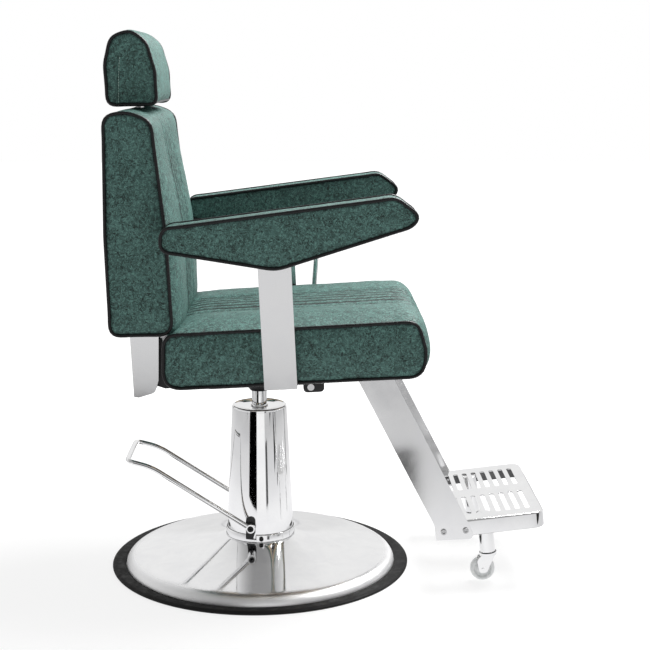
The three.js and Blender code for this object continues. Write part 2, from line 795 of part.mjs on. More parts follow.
// Swivel disc with its pin, two cheeks that trail back to the wheel, and the wheel's pin.
function casterFork(side) {
  const y = side * CASTER.y;
  const disc = rodZ(17, CASTER.u, y, SWIVEL_TOP - 6, SWIVEL_TOP);
  const pin = rodZ(5, CASTER.u, y, SWIVEL_TOP - 1, SWIVEL_TOP + 24, 20);
  const cheek = outline([
    [CASTER.u + 13, SWIVEL_TOP - 4, 2],
    [WHEEL_U + 7, WHEEL_W - 7, 6],
    [WHEEL_U - 7, WHEEL_W - 7, 6],
    [WHEEL_U - 10, SWIVEL_TOP - 14, 8],
    [CASTER.u - 13, SWIVEL_TOP - 4, 2],
  ]);
  const gapHalf = CASTER.wheelWidth / 2 + 1;
  const cheeks = [1, -1].map((s) => {
    const [a, b] = span(s, gapHalf, gapHalf + 2.5);
    return plateXZ(cheek, y + a, y + b);
  });
  const end = gapHalf + 4;
  const axle = rodY(3, WHEEL_U, WHEEL_W, y - end, y + end, 16);
  return join(disc, pin, ...cheeks, axle);
}

// Narrow roller with shallow recesses either side of its web.
function casterWheel(side) {
  const y = side * CASTER.y;
  const half = CASTER.wheelWidth / 2;
  const r = CASTER.wheel;
  const profile = [
    [r - 2, -half],
    [r, -half + 3],
    [r, half - 3],
    [r - 2, half],
    [r - 7, half],
    [9, half - 3],
    [8, half],
    [3 + RUN, half],
    [3 + RUN, -half],
    [8, -half],
    [9, -half + 3],
    [r - 7, -half],
  ];
  return turned(profile, 28).rotateX(Math.PI / 2).translate(WHEEL_U, y, WHEEL_W);
}

footrest.add(
  part("footrest_tread", treadSheet(), "chrome"),
  ...bothSides((side, name) => [
    part("caster_stem_" + name, casterStem(side), "chrome"),
    part("caster_fork_" + name, casterFork(side), "chrome"),
    part("caster_wheel_" + name, casterWheel(side), "wheel"),
  ]),
);

// ---------------------------------------------------------------- recline lever

function leverLug(side) {
  const { x, width, height, y, thickness } = LUG;
  const [low, high] = span(side, y - thickness / 2, y + thickness / 2);
  const shape = outline([
    [x, -GAP, 1],
    [x, -height, 9],
    [x + width, -height, 9],
    [x + width, -GAP, 1],
  ]);
  return cut(plateXZ(shape, low, high), rodY(LEVER.radius + RUN, LEVER.x, LEVER.z, low - 1, high + 1));
}

// Shaft across the seat, a domed head at the near lug and the hand rod at the far end.
function reclineLever() {
  const { x, z, radius, besideSeat, rodRadius, lean, length } = LEVER;
  const far = SEAT.width / 2 + besideSeat;
  const near = -LUG.y - LUG.thickness / 2 - GAP;
  const shaft = rodY(radius, x, z, near - 1, far);
  const head = rodY(radius + 1.5, x, z, near - 3.5, near, 24);
  const rod = new THREE.CylinderGeometry(rodRadius, rodRadius, length, 20);
  rod.rotateX(Math.PI / 2).translate(0, 0, length / 2 - rodRadius);
  rod.rotateY(rad(lean)).translate(x, far, z);
  return join(shaft, head, rod);
}

function leverKnob() {
  const { x, z, besideSeat, rodRadius, lean, length } = LEVER;
  const far = SEAT.width / 2 + besideSeat;
  const reach = length - rodRadius + KNOB_RADIUS - 4;
  const ball = new THREE.SphereGeometry(KNOB_RADIUS, 16, 10);
  const hole = new THREE.CylinderGeometry(rodRadius + GAP, rodRadius + GAP, 30, 20);
  hole.rotateX(Math.PI / 2).translate(0, 0, -KNOB_RADIUS - 15 + 4 + GAP);
  const knob = cut(ball, hole);
  return knob.translate(0, 0, reach).rotateY(rad(lean)).translate(x, far, z);
}

seat.add(
  part("recline_lever", reclineLever(), "chrome"),
  part("lever_knob", leverKnob(), "plastic"),
  ...bothSides((side, name) => part("lever_lug_" + name, leverLug(side), "black")),
);

// ---------------------------------------------------------------- gas spring

const [BAR_X, BAR_Z] = toSeat(GAS_BAR.x, GAS_BAR.z);
const GAS_SPAN = Math.hypot(GAS.anchorX - BAR_X, GAS.anchorZ - BAR_Z);

// The spring's own frame: x runs from the anchor back to the bar on the backrest.
const spring = new THREE.Group();
spring.position.set(GAS.anchorX, 0, GAS.anchorZ);
spring.rotation.y = -Math.atan2(BAR_Z - GAS.anchorZ, BAR_X - GAS.anchorX);
seat.add(spring);

// Two cheeks and a pin standing on the mounting plate.
function gasAnchor() {
  const { anchorX: x, anchorZ: z, pin } = GAS;
  const half = GAS_EYE.width / 2;
  const z0 = PLATE_TOP + GAP;
  const foot = block(x - 8, x + 16, -half - 5, half + 5, z0, z0 + 1.5);
  const cheeks = [1, -1].map((side) => {
    const [a, b] = span(side, half + 1, half + 5);
    return block(x - 8, x + 8, a, b, z0, z + 7);
  });
  return join(foot, ...cheeks, rodY(pin, x, z, -half - 4, half + 4, 20));
}

function gasCylinder() {
  const half = GAS_EYE.width / 2;
  const start = GAS_EYE.radius + 3;
  const neck = block(0, start + 1, -half + 1, half - 1, -4, 4);
  const barrel = new THREE.CylinderGeometry(GAS.radius, GAS.radius, GAS.cylinder - start, 20);
  barrel.rotateZ(Math.PI / 2).translate((GAS.cylinder + start) / 2, 0, 0);
  const eye = rodY(GAS_EYE.radius - 1, 0, 0, -half, half, 20);
  const bore = new THREE.CylinderGeometry(GAS.rod + RUN, GAS.rod + RUN, GAS.cylinder, 20);
  bore.rotateZ(Math.PI / 2).translate(GAS.cylinder / 2 + 22, 0, 0);
  return cut(join(barrel, neck, eye), rodY(GAS.pin + RUN, 0, 0, -half - 1, half + 1, 20), bore);
}

// Rod and end eye; the eye's hole has the play of the linkage's open pivot.
function gasRod() {
  const hole = GAS_BAR.radius + GAS.play;
  const eyeRadius = hole + 3.5;
  const half = GAS_EYE.width / 2;
  const start = GAS.cylinder - 75;
  const end = GAS_SPAN - hole - 1;
  const rod = new THREE.CylinderGeometry(GAS.rod, GAS.rod, end - start, 20);
  rod.rotateZ(Math.PI / 2).translate((end + start) / 2, 0, 0);
  const eye = rodY(eyeRadius, GAS_SPAN, 0, -half, half, 20);
  return cut(join(rod, eye), rodY(hole, GAS_SPAN, 0, -half - 1, half + 1, 28));
}

seat.add(part("gas_anchor", gasAnchor(), "black"));
spring.add(
  part("gas_cylinder", gasCylinder(), "plastic"),
  part("gas_rod", gasRod(), "steel"),
);

// ---------------------------------------------------------------- backrest

function backOutline() {
  const { bottomDepth, topDepth } = BACK;
  const [rear, bottom, top] = [BACK_REAR, BACK_BOTTOM, BACK_TOP];
  const middle = bottom + (top - bottom) * 0.45;
  return outline([
    [rear + 3, bottom, 14],
    [rear + bottomDepth, bottom + 2, 22],
    [rear + 0.6 * bottomDepth + 0.4 * topDepth + 4, middle, 60],
    [rear + topDepth, top - 14, 24],
    [rear + 0.5 * topDepth, top + 1, 24],
    [rear + 1, top - 5, 18],
    [rear - 2, middle, 60],
  ]);
}

// The bracket's side outline, tapering down to the hinge end.
function bracketOutline() {
  const { x, z } = HINGE;
  return outline([
    [x - 38, BRACKET.top, 0],
    [x - 35, z + 72, 0],
    [x - 30, z - 43, 2],
    [x - 21, z - 44, 2],
    [x + 9, z - 35, 12],
    [x + 16, z - 12, 6],
    [x + 18, z + 72, 0],
    [x + 18, BRACKET.top, 0],
  ]);
}

// Channel open to the front, let into the foot of the backrest.
function backBracket(side) {
  const { innerY, width, sheet } = BRACKET;
  const [low, high] = span(side, innerY, innerY + width);
  const outer = plateXZ(bracketOutline(), low, high);
  const inside = plateXZ(bracketOutline(), low + sheet, high - sheet).translate(sheet, 0, 0);
  const front = HINGE.x + 10;
  const open = block(front, front + 30, low + sheet, high - sheet, HINGE.z - 60, BRACKET.top + 1);
  const ends = block(HINGE.x - 28, front + 1, low + sheet, high - sheet, BRACKET.top - 5, BRACKET.top + 1);
  const toe = block(HINGE.x - 22, front + 1, low + sheet, high - sheet, HINGE.z - 60, HINGE.z - 20);
  const [a, b] = span(side, innerY - 1, innerY + sheet + 1);
  const pin = rodY(HINGE.pin + RUN, HINGE.x, HINGE.z, a, b);
  const [c, d] = span(side, innerY - 1, innerY + sheet + 1);
  const bar = rodY(GAS_BAR.radius + GAP, GAS_BAR.x, GAS_BAR.z, c, d);
  return cut(outer, inside, open, ends, toe, pin, bar);
}

function gasBar() {
  const half = BRACKET.innerY + BRACKET.sheet;
  return rodY(GAS_BAR.radius, GAS_BAR.x, GAS_BAR.z, -half, half, 24);
}

function backBoard() {
  const { x, thickness, inset, bottom, top } = BACK_BOARD;
  const half = BACK.width / 2 - inset;
  return block(x, x + thickness, -half, half, bottom, top);
}

// The upholstered body, with pockets for the board, the brackets and the headrest guide.
function backCushion() {
  const body = plateXZ(backOutline(), -BACK.width / 2, BACK.width / 2);
  const { x, thickness, inset, top } = BACK_BOARD;
  const far = BACK.width / 2 - inset + POCKET;
  const board = block(x - POCKET, x + thickness + 2, -far, far, BACK_BOTTOM - 5, top + POCKET);
  const brackets = [1, -1].map((side) => {
    const inner = BRACKET.innerY;
    const [low, high] = span(side, inner - 2, inner + BRACKET.width + 2);
    const [x0, x1] = [HINGE.x - 39, HINGE.x + 20];
    return block(x0, x1, low, high, BACK_BOTTOM - 5, BRACKET.top + 2);
  });
  const { wall } = GUIDE;
  const half = POST.width / 2 + wall + 1.5;
  const x1 = POST.x + POST.thickness + wall + 1.5;
  const shaft = block(x + thickness, x1, -half, half, POST.bottom - 5, BACK_TOP + 10);
  return cut(body, board, ...brackets, shaft);
}

// Sleeve that the headrest's post slides in.
function headrestGuide() {
  const { x, thickness, width } = POST;
  const { wall, bottom, top } = GUIDE;
  const half = width / 2;
  const outer = block(x - wall, x + thickness + wall, -half - wall, half + wall, bottom, top);
  const play = RUN;
  const inner = [x - play, x + thickness + play, -half - play, half + play];
  return cut(outer, block(...inner, bottom - 1, top + 1));
}

function headrestPost() {
  const { x, thickness, width, bottom, top } = POST;
  return block(x, x + thickness, -width / 2, width / 2, bottom, top);
}

function headrestOutline() {
  const { bottom, height, rear, depth } = HEADREST;
  const front = rear + depth;
  return outline([
    [rear + 3, bottom, 12],
    [front, bottom + 1, 10],
    [front - 2, bottom + 62, 40],
    [front - 17, bottom + 113, 22],
    [front - 45, bottom + height, 22],
    [rear + 11, bottom + height - 12, 22],
    [rear - 1, bottom + height * 0.55, 30],
  ]);
}

function headrestCushion() {
  const half = HEADREST.width / 2;
  const { x, thickness, width, top } = POST;
  const side = width / 2 + POCKET;
  const [x0, x1] = [x - POCKET, x + thickness + POCKET];
  const pocket = block(x0, x1, -side, side, HEADREST.bottom - 5, top + POCKET);
  return cut(plateXZ(headrestOutline(), -half, half), pocket);
}

chair.add(
  part("back_cushion", backCushion(), "leather"),
  part("back_board", backBoard(), "plywood"),
  part("gas_bar", gasBar(), "black"),
  part("headrest_guide", headrestGuide(), "steel"),
  part("headrest_post", headrestPost(), "chrome"),
  part("headrest_cushion", headrestCushion(), "leather"),
  ...bothSides((side, name) => part("back_bracket_" + name, backBracket(side), "chrome")),
);

// ---------------------------------------------------------------- place the chair

// The origin is the centre of the chair's footprint, on the floor.
const extent = new THREE.Box3().setFromObject(chair, true);
chair.position.x = -(extent.min.x + extent.max.x) / 2;

const barberChair = new THREE.Group();
barberChair.add(chair);

export default barberChair;
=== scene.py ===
"""Looks of a hydraulic barber chair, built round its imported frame.

Metres, +X the way the occupant faces, +Y the occupant's left, +Z up.
"""

import json
import math

import bmesh
import bpy
import numpy as np
from mathutils import Matrix, Vector, noise
from mathutils.geometry import delaunay_2d_cdt

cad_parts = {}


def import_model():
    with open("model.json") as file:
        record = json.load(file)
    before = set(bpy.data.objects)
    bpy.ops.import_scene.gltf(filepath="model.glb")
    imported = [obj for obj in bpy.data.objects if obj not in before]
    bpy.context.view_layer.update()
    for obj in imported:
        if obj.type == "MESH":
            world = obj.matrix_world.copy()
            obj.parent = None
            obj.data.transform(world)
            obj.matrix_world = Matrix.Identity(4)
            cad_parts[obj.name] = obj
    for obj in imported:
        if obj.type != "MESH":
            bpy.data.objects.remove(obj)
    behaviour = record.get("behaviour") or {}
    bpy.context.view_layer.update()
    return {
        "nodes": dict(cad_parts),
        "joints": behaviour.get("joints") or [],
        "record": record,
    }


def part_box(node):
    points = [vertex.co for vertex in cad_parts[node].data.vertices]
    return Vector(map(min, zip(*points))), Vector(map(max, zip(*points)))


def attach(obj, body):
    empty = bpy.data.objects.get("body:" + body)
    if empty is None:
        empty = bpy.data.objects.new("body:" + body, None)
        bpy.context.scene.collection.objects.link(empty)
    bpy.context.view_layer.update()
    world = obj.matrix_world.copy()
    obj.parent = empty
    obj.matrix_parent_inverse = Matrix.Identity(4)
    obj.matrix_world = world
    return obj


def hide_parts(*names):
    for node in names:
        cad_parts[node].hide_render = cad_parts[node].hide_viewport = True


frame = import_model()

BOTH = (("left", 1), ("right", -1))

JOINTS = {joint["name"]: joint for joint in frame["joints"]}
AXIS_X = sum(c.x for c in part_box("piston_rod")) / 2  # the pump's upright axis
TREAD_UP = Vector(JOINTS["caster_swivel_left"]["axis"])


# ---------------------------------------------------------------- camera

CAMERA = {"y": -2.700, "x": -0.033774, "z": 0.99237, "pitch": 0.184647, "yaw": 0.014230, "lens": 76.51}


def linked(name, data):
    """A new object in the scene."""
    obj = bpy.data.objects.new(name, data)
    bpy.context.scene.collection.objects.link(obj)
    return obj


def camera():
    data = bpy.data.cameras.new("camera")
    data.sensor_width = 36
    data.lens = CAMERA["lens"]
    data.clip_end = 50
    obj = linked("camera", data)
    obj.location = (CAMERA["x"], CAMERA["y"], CAMERA["z"])
    obj.rotation_euler = (math.pi / 2 - CAMERA["pitch"], 0, -CAMERA["yaw"])
    bpy.context.scene.camera = obj


camera()


# ---------------------------------------------------------------- materials


class Finish:
    """One procedural material. Its textures are laid out in metres on the object."""

    def __init__(self, name, **sockets):
        self.made = bpy.data.materials.new(name)
        self.made.use_nodes = True
        self.tree = self.made.node_tree
        self.shader = self.tree.nodes["Principled BSDF"]
        for socket, value in sockets.items():
            self.shader.inputs[socket.replace("_", " ")].default_value = value
        self.place = self.node("ShaderNodeTexCoord").outputs["Object"]

    def node(self, kind, inputs=None, **settings):
        made = self.tree.nodes.new(kind)
        for key, value in settings.items():
            setattr(made, key, value)
        for key, value in (inputs or {}).items():
            if isinstance(value, bpy.types.NodeSocket):
                self.tree.links.new(value, made.inputs[key])
            else:
                made.inputs[key].default_value = value
        return made

    def stretch(self, scale):
        return self.node("ShaderNodeMapping", {"Vector": self.place, "Scale": scale}).outputs["Vector"]

    def noise(self, size, detail=3.0, roughness=0.55, distortion=0.0, place=None):
        """Noise whose patches are about size metres across."""
        inputs = {"Vector": place or self.place, "Scale": 1 / size, "Detail": detail}
        inputs.update({"Roughness": roughness, "Distortion": distortion})
        return self.node("ShaderNodeTexNoise", inputs).outputs["Fac"]

    def cells(self, size, feature="DISTANCE_TO_EDGE", place=None):
        inputs = {"Vector": place or self.place, "Scale": 1 / size}
        return self.node("ShaderNodeTexVoronoi", inputs, feature=feature).outputs["Distance"]

    def span(self, value, low, high, to_low=0.0, to_high=1.0):
        inputs = {"Value": value, "From Min": low, "From Max": high, "To Min": to_low, "To Max": to_high}
        return self.node("ShaderNodeMapRange", inputs, interpolation_type="SMOOTHSTEP").outputs["Result"]

    def math(self, operation, a, b=0.0):
        return self.node("ShaderNodeMath", {0: a, 1: b}, operation=operation).outputs[0]

    def mix(self, share, a, b):
        """Colour a, or b where share is 1."""
        return self.node("ShaderNodeMix", {0: share, 6: a, 7: b}, data_type="RGBA").outputs[2]

    def height(self):
        return self.node("ShaderNodeSeparateXYZ", {"Vector": self.place}).outputs["Z"]

    def attribute(self, name):
        return self.node("ShaderNodeAttribute", attribute_name=name).outputs["Fac"]

    def bump(self, height, distance, strength=1.0, under=None):
        inputs = {"Height": height, "Distance": distance, "Strength": strength}
        if under is not None:
            inputs["Normal"] = under
        return self.node("ShaderNodeBump", inputs).outputs["Normal"]

    def wire(self, **links):
        for socket, value in links.items():
            self.tree.links.new(value, self.shader.inputs[socket.replace("_", " ")])
        return self.made


def curls(f, size, level, thickness, distortion):
    """Curling lines: where a distorted noise passes through level."""
    spread = f.noise(size, detail=3, roughness=0.6, distortion=distortion)
    return f.span(f.math("ABSOLUTE", f.math("SUBTRACT", spread, level)), *thickness, 1.0, 0.0)


def scaled(color, factor, lift=0.0):
    return tuple(min(1.0, c * factor + lift) for c in color[:3]) + (1,)


def leather_finish(name, dark, light, rough=(0.46, 0.66)):
    """Distressed leatherette: cloudy two-tone colour, curling dark creases, pale rubs, pebbled grain.

    The attribute groove paints shade into the sewn lines and along the piping, and crest rubs what stands
    proud.
    """
    f = Finish(name, Specular_IOR_Level=0.38)
    clouds = f.noise(0.030, detail=4, roughness=0.6, distortion=0.5)
    specks = f.noise(0.0045, detail=4, roughness=0.75, distortion=0.6)
    tone = f.math("ADD", f.math("MULTIPLY", clouds, 0.36), f.math("MULTIPLY", specks, 0.64))
    color = f.mix(f.span(tone, 0.34, 0.68), dark, light)
    crease = curls(f, 0.0125, 0.5, (0.012, 0.058), 2.4)
    short = f.math("MULTIPLY", crease, f.span(f.noise(0.009, detail=1), 0.36, 0.52))
    color = f.mix(f.math("MULTIPLY", short, 0.95), color, scaled(dark, 0.16))
    rubbed = scaled(light, 1.9, 0.02)
    worn = f.span(specks, 0.38, 0.62, 0.1, 0.75)
    color = f.mix(f.math("MULTIPLY", curls(f, 0.0105, 0.47, (0.015, 0.075), 2.0), worn), color, rubbed)
    proud = f.math("MULTIPLY", f.attribute("crest"), f.span(specks, 0.42, 0.66, 0.0, 0.5))
    color = f.mix(proud, color, rubbed)
    # painted shade: the groove attribute darkens the leather to near black down each seam and beside the
    # piping
    seam_shade = f.span(f.attribute("groove"), 0.05, 0.62, 0.0, 0.95)
    color = f.mix(seam_shade, color, scaled(dark, 0.12))
    pebbles = f.span(f.cells(0.0017), 0.02, 0.3)
    grain = f.bump(pebbles, 0.00016, 0.7)
    skin = f.bump(f.math("SUBTRACT", specks, f.math("MULTIPLY", short, 0.8)), 0.0005, 0.7, under=grain)
    gloss = f.span(specks, 0.3, 0.7, *rough)
    return f.wire(Base_Color=color, Roughness=gloss, Normal=skin)


def piping_finish():
    f = Finish("black_piping", Specular_IOR_Level=0.35)
    wear = f.noise(0.006, detail=4, roughness=0.65)
    color = f.mix(f.span(wear, 0.5, 0.75), (0.003, 0.003, 0.0035, 1), (0.010, 0.010, 0.011, 1))
    grain = f.bump(f.cells(0.0012), 0.00010, 0.5)
    return f.wire(Base_Color=color, Roughness=f.span(wear, 0.3, 0.7, 0.24, 0.42), Normal=grain)


def chrome_finish(name="polished_chrome", rough=(0.035, 0.085), tint=0.86, dull_below=None):
    """Plated steel: nearly a mirror, with faint waves, haze and hairline scratches.

    Below the height dull_below the polish gives way to a brushed edge.
    """
    f = Finish(name, Metallic=1.0, Specular_IOR_Level=0.5)
    haze = f.noise(0.05, detail=4, roughness=0.6, distortion=0.4)
    color = f.mix(f.span(haze, 0.3, 0.7), (tint, tint, tint * 1.008, 1), (tint * 1.06,) * 3 + (1,))
    hairs = f.noise(0.0011, detail=2, place=f.stretch((1.0, 1.0, 0.06)))
    scratched = f.math("MULTIPLY", f.span(hairs, 0.66, 0.74), 0.05)
    gloss = f.math("ADD", f.span(haze, 0.3, 0.7, *rough), scratched)
    if dull_below is not None:
        dull = f.span(f.height(), dull_below - 0.006, dull_below + 0.003, 0.42, 0.0)
        gloss = f.math("ADD", gloss, dull)
    waves = f.bump(f.noise(0.03, detail=1), 0.00006, 0.5)
    return f.wire(Base_Color=color, Roughness=gloss, Normal=waves)


def steel_finish(name="turned_steel", shine=0.42):
    """Bare steel with fine tool marks."""
    f = Finish(name, Metallic=1.0)
    grain = f.noise(0.0009, detail=3, place=f.stretch((1.0, 0.08, 1.0)))
    patches = f.noise(0.012, detail=3)
    color = f.mix(f.span(patches, 0.3, 0.7), (shine, shine, shine * 1.02, 1), (shine * 1.43,) * 3 + (1,))
    gloss = f.span(grain, 0.3, 0.7, 0.2, 0.38)
    return f.wire(Base_Color=color, Roughness=gloss, Normal=f.bump(grain, 0.00004, 0.6))


def powder_finish():
    """Satin black powder coat with its orange-peel skin."""
    f = Finish("black_powder_coat", Metallic=0.0, Specular_IOR_Level=0.45)
    peel = f.noise(0.0016, detail=3, roughness=0.5)
    dust = f.noise(0.02, detail=4, roughness=0.7)
    color = f.mix(f.span(dust, 0.45, 0.75), (0.008, 0.008, 0.009, 1), (0.022, 0.022, 0.023, 1))
    return f.wire(
        Base_Color=color,
        Roughness=f.span(dust, 0.3, 0.7, 0.38, 0.55),
        Normal=f.bump(peel, 0.0001, 0.7),
    )


def rubber_finish():
    f = Finish("black_rubber", Specular_IOR_Level=0.22)
    scuffs = f.noise(0.015, detail=5, roughness=0.7, place=f.stretch((1, 1, 3)))
    color = f.mix(f.span(scuffs, 0.45, 0.72), (0.004, 0.004, 0.004, 1), (0.012, 0.012, 0.012, 1))
    return f.wire(
        Base_Color=color,
        Roughness=f.span(scuffs, 0.3, 0.7, 0.5, 0.75),
        Normal=f.bump(f.noise(0.0013, detail=3), 0.00012, 0.8),
    )


PLY = 1 / 550  # metres from one ply to the next


def plywood_finish():
    """Birch ply: long grain along X with plies across the thickness."""
    f = Finish("birch_plywood", Specular_IOR_Level=0.3)
    grain = f.noise(0.004, detail=5, roughness=0.6, distortion=0.5, place=f.stretch((0.07, 1, 1)))
    layers = f.math("FRACT", f.math("MULTIPLY", f.height(), 1 / PLY))
    wood = f.mix(f.span(grain, 0.35, 0.65), (0.46, 0.37, 0.26, 1), (0.62, 0.52, 0.39, 1))
    color = f.mix(f.span(layers, 0.45, 0.55, 0.0, 0.35), wood, (0.3, 0.18, 0.09, 1))
    gloss = f.span(grain, 0.3, 0.7, 0.55, 0.75)
    return f.wire(Base_Color=color, Roughness=gloss, Normal=f.bump(grain, 0.0002, 0.6))


def plastic_finish(name, dark, light, rough, size=0.0008):
    """Moulded plastic with a fine spark-eroded grain."""
    f = Finish(name, Specular_IOR_Level=0.5)
    grain = f.noise(size, detail=2)
    patches = f.noise(0.01, detail=4, roughness=0.6)
    color = f.mix(f.span(patches, 0.35, 0.65), dark, light)
    gloss = f.span(patches, 0.3, 0.7, *rough)
    return f.wire(Base_Color=color, Roughness=gloss, Normal=f.bump(grain, 0.00006, 0.7))


THREAD = plastic_finish("green_thread", (0.20, 0.31, 0.28, 1), (0.34, 0.46, 0.42, 1), (0.5, 0.7), 0.0004)
GREEN = leather_finish("green_leatherette", (0.020, 0.057, 0.049, 1), (0.058, 0.136, 0.119, 1))
PIPING = piping_finish()
CHROME = chrome_finish()
SATIN = chrome_finish("plated_flat_bar", rough=(0.12, 0.18), tint=0.80)
STEEL = steel_finish()
# a very dark steel for the inside of the tread's skirt and its underside: painted shade under the tread
TREAD_SHADE_STEEL = steel_finish("unplated_steel", 0.10)
POWDER = powder_finish()
RUBBER = rubber_finish()
PLYWOOD = plywood_finish()
PLASTIC = plastic_finish("black_plastic", (0.007, 0.007, 0.008, 1), (0.016, 0.016, 0.017, 1), (0.34, 0.48))
WHEEL = plastic_finish("pale_wheel_plastic", (0.70, 0.72, 0.72, 1), (0.84, 0.85, 0.85, 1), (0.3, 0.42))


# ---------------------------------------------------------------- mesh helpers


def finish_piece(obj, body, material, smooth_angle=35):
    """Gives a new piece its material, smooth shading and body."""
    mesh = obj.data
    if not mesh.materials:
        mesh.materials.append(material)
    mesh.polygons.foreach_set("use_smooth", [True] * len(mesh.polygons))
    mesh.set_sharp_from_angle(angle=math.radians(smooth_angle))
    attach(obj, body)
    return obj


def new_object(name, verts, faces):
    mesh = bpy.data.meshes.new(name)
    mesh.from_pydata([tuple(v) for v in verts], [], [tuple(f) for f in faces])
    work = bmesh.new()
    work.from_mesh(mesh)
    bmesh.ops.remove_doubles(work, verts=work.verts, dist=1e-6)
    bmesh.ops.recalc_face_normals(work, faces=work.faces)
    work.to_mesh(mesh)
    work.free()
    return linked(name, mesh)


def joined(name, objects):
    """Several objects as one mesh object."""
    work = bmesh.new()
    for obj in objects:
        obj.data.transform(obj.matrix_world)
        work.from_mesh(obj.data)
        bpy.data.objects.remove(obj)
    mesh = bpy.data.meshes.new(name)
    work.to_mesh(mesh)
    work.free()
    return linked(name, mesh)


def bezier(a, b, c, steps):
    """A curve from a to c that is pulled towards b."""
    a, b, c = Vector(a), Vector(b), Vector(c)
    return [a * (1 - t) ** 2 + b * 2 * t * (1 - t) + c * t * t for t in np.linspace(0, 1, steps + 1)]


def filleted(corners, steps=5, closed=False):
    """Points along a path of (a, b, fillet) corners, with each fillet as a curve."""
    count = len(corners)
    points = []
    for i, (a, b, fillet) in enumerate(corners):
        corner = Vector((a, b))
        if fillet <= 0 or (not closed and i in (0, count - 1)):
            points.append(corner)
            continue
        before = Vector(corners[i - 1][:2]) - corner
        after = Vector(corners[(i + 1) % count][:2]) - corner
        back = min(fillet, 0.49 * before.length, 0.49 * after.length)
        start = corner + before.normalized() * back
        end = corner + after.normalized() * back
        points += bezier(start, corner, end, steps)
    return points


def lathe(name, profile, segments=128, origin=(0, 0, 0), axis="Z", sweep=(0.0, 360.0)):
    """A closed (radius, height) profile turned round an axis through origin."""
    first, last = (math.radians(a) for a in sweep)
    whole = sweep[1] - sweep[0] >= 360
    turns = segments if whole else segments + 1
    verts = []
    for k in range(turns):
        angle = first + (last - first) * k / segments
        for r, h in profile:
            p = Vector((r * math.cos(angle), r * math.sin(angle), h))
            if axis == "Y":
                p = Vector((p.x, p.z, -p.y))
            verts.append(p + Vector(origin))
    n = len(profile)
    faces = []
    for k in range(segments):
        for i in range(n):
            j = (i + 1) % n
            a, b = k * n, ((k + 1) % turns) * n
            if profile[i][0] > 1e-7 or profile[j][0] > 1e-7:
                faces.append([a + i, a + j, b + j, b + i])
    if not whole:
        faces.append(list(range(n)))
        faces.append([(turns - 1) * n + i for i in range(n)])
    obj = new_object(name, verts, faces)
    bm = bmesh.new()
    bm.from_mesh(obj.data)
    bmesh.ops.dissolve_degenerate(bm, dist=1e-7, edges=bm.edges)
    bm.to_mesh(obj.data)
    bm.free()
    return obj


def tube(name, path, radius, sides=14, closed=False):
    """A round bar along a path of points; a closed one joins up, an open one has flat ends."""
    path = [Vector(p) for p in path]
    count = len(path)
    tangents = []
    for i in range(count):
        a = path[(i - 1) % count] if closed or i > 0 else path[i]
        b = path[(i + 1) % count] if closed or i < count - 1 else path[i]
        tangents.append((b - a).normalized())
    side = Vector((0, 1, 0))
    if abs(tangents[0].dot(side)) > 0.9:
        side = Vector((0, 0, 1))
    verts = []
    for p, t in zip(path, tangents):
        side = (side - t * side.dot(t)).normalized()
        other = t.cross(side)
        for k in range(sides):
            a = 2 * math.pi * k / sides
            verts.append(p + side * (radius * math.cos(a)) + other * (radius * math.sin(a)))
    faces = []
    for i in range(count if closed else count - 1):
        for k in range(sides):
            m = (k + 1) % sides
            a, b = i * sides, ((i + 1) % count) * sides
            faces.append([a + k, a + m, b + m, b + k])
    if not closed:
        faces.append(list(range(sides)))
        faces.append([(count - 1) * sides + k for k in range(sides)])
    return new_object(name, verts, faces)


def rounded_path(corners, steps=8):
    """Points in space along (x, y, z, radius) corners, with each bend as a curve."""
    points = [Vector(corners[0][:3])]
    for i in range(1, len(corners) - 1):
        corner = Vector(corners[i][:3])
        before = (Vector(corners[i - 1][:3]) - corner).normalized()
        after = (Vector(corners[i + 1][:3]) - corner).normalized()
        start, end = corner + before * corners[i][3], corner + after * corners[i][3]
        points += bezier(start, corner, end, steps)
    points.append(Vector(corners[-1][:3]))
    return points


def extent(node, axis):
    """Lowest and highest reach of a frame node along a direction."""
    reach = [v.co.dot(axis) for v in frame["nodes"][node].data.vertices]
    return min(reach), max(reach)


# ---------------------------------------------------------------- upholstery

PUFF = {"frames": 20, "pressure": 4.0, "stiffness": 18.0, "quality": 6}
GROOVE = 0.0056  # half width of the painted shade line down in a seam
WELT = 0.0030  # radius of the piping cord
BOLSTER = 0.150  # width of the plain bolster on each side of the seat and back
CHANNELS = 6  # sewn channels between the bolsters
SEAM = (0.0085, 0.0220)  # depth and half width of the bolster seams
CHANNEL = (0.0075, 0.0142)  # and of the lines between channels
PUCKER = {"length": 0.021, "offset": 0.007, "width": 0.005}  # gathers beside a sewn line
EDGE_PUCKER = {"length": 0.027, "offset": 0.010, "width": 0.008}  # and beside the piping
STITCH = {"foot": 0.003, "rise": 0.084, "lean": 0.004, "from_back": 0.021, "count": 17, "half": 0.0016}


def side_outline(node):
    """The side face of a padded solid in the frame, as X and Z points in order round it."""
    mesh = frame["nodes"][node].data
    edge = max(v.co.y for v in mesh.vertices) - 1e-5
    found = {(round(v.co.x, 6), round(v.co.z, 6)) for v in mesh.vertices if v.co.y > edge}
    points = np.array(sorted(found))
    middle = points.mean(0)
    order = np.argsort(np.arctan2(points[:, 1] - middle[1], points[:, 0] - middle[0]))
    return points[order]


def evenly(points, spacing, rounds=14):
    """The same closed outline with evenly spaced points, its facets rounded off without shrinking it."""
    ring = np.vstack([points, points[:1]])
    run = np.concatenate([[0], np.cumsum(np.linalg.norm(np.diff(ring, axis=0), axis=1))])
    count = int(round(run[-1] / spacing))
    at = np.linspace(0, run[-1], count, endpoint=False)
    even = np.stack([np.interp(at, run, ring[:, k]) for k in (0, 1)], axis=1)
    for _ in range(rounds):
        for share in (0.5, -0.52):
            even = even + share * (0.5 * (np.roll(even, 1, 0) + np.roll(even, -1, 0)) - even)
    return even


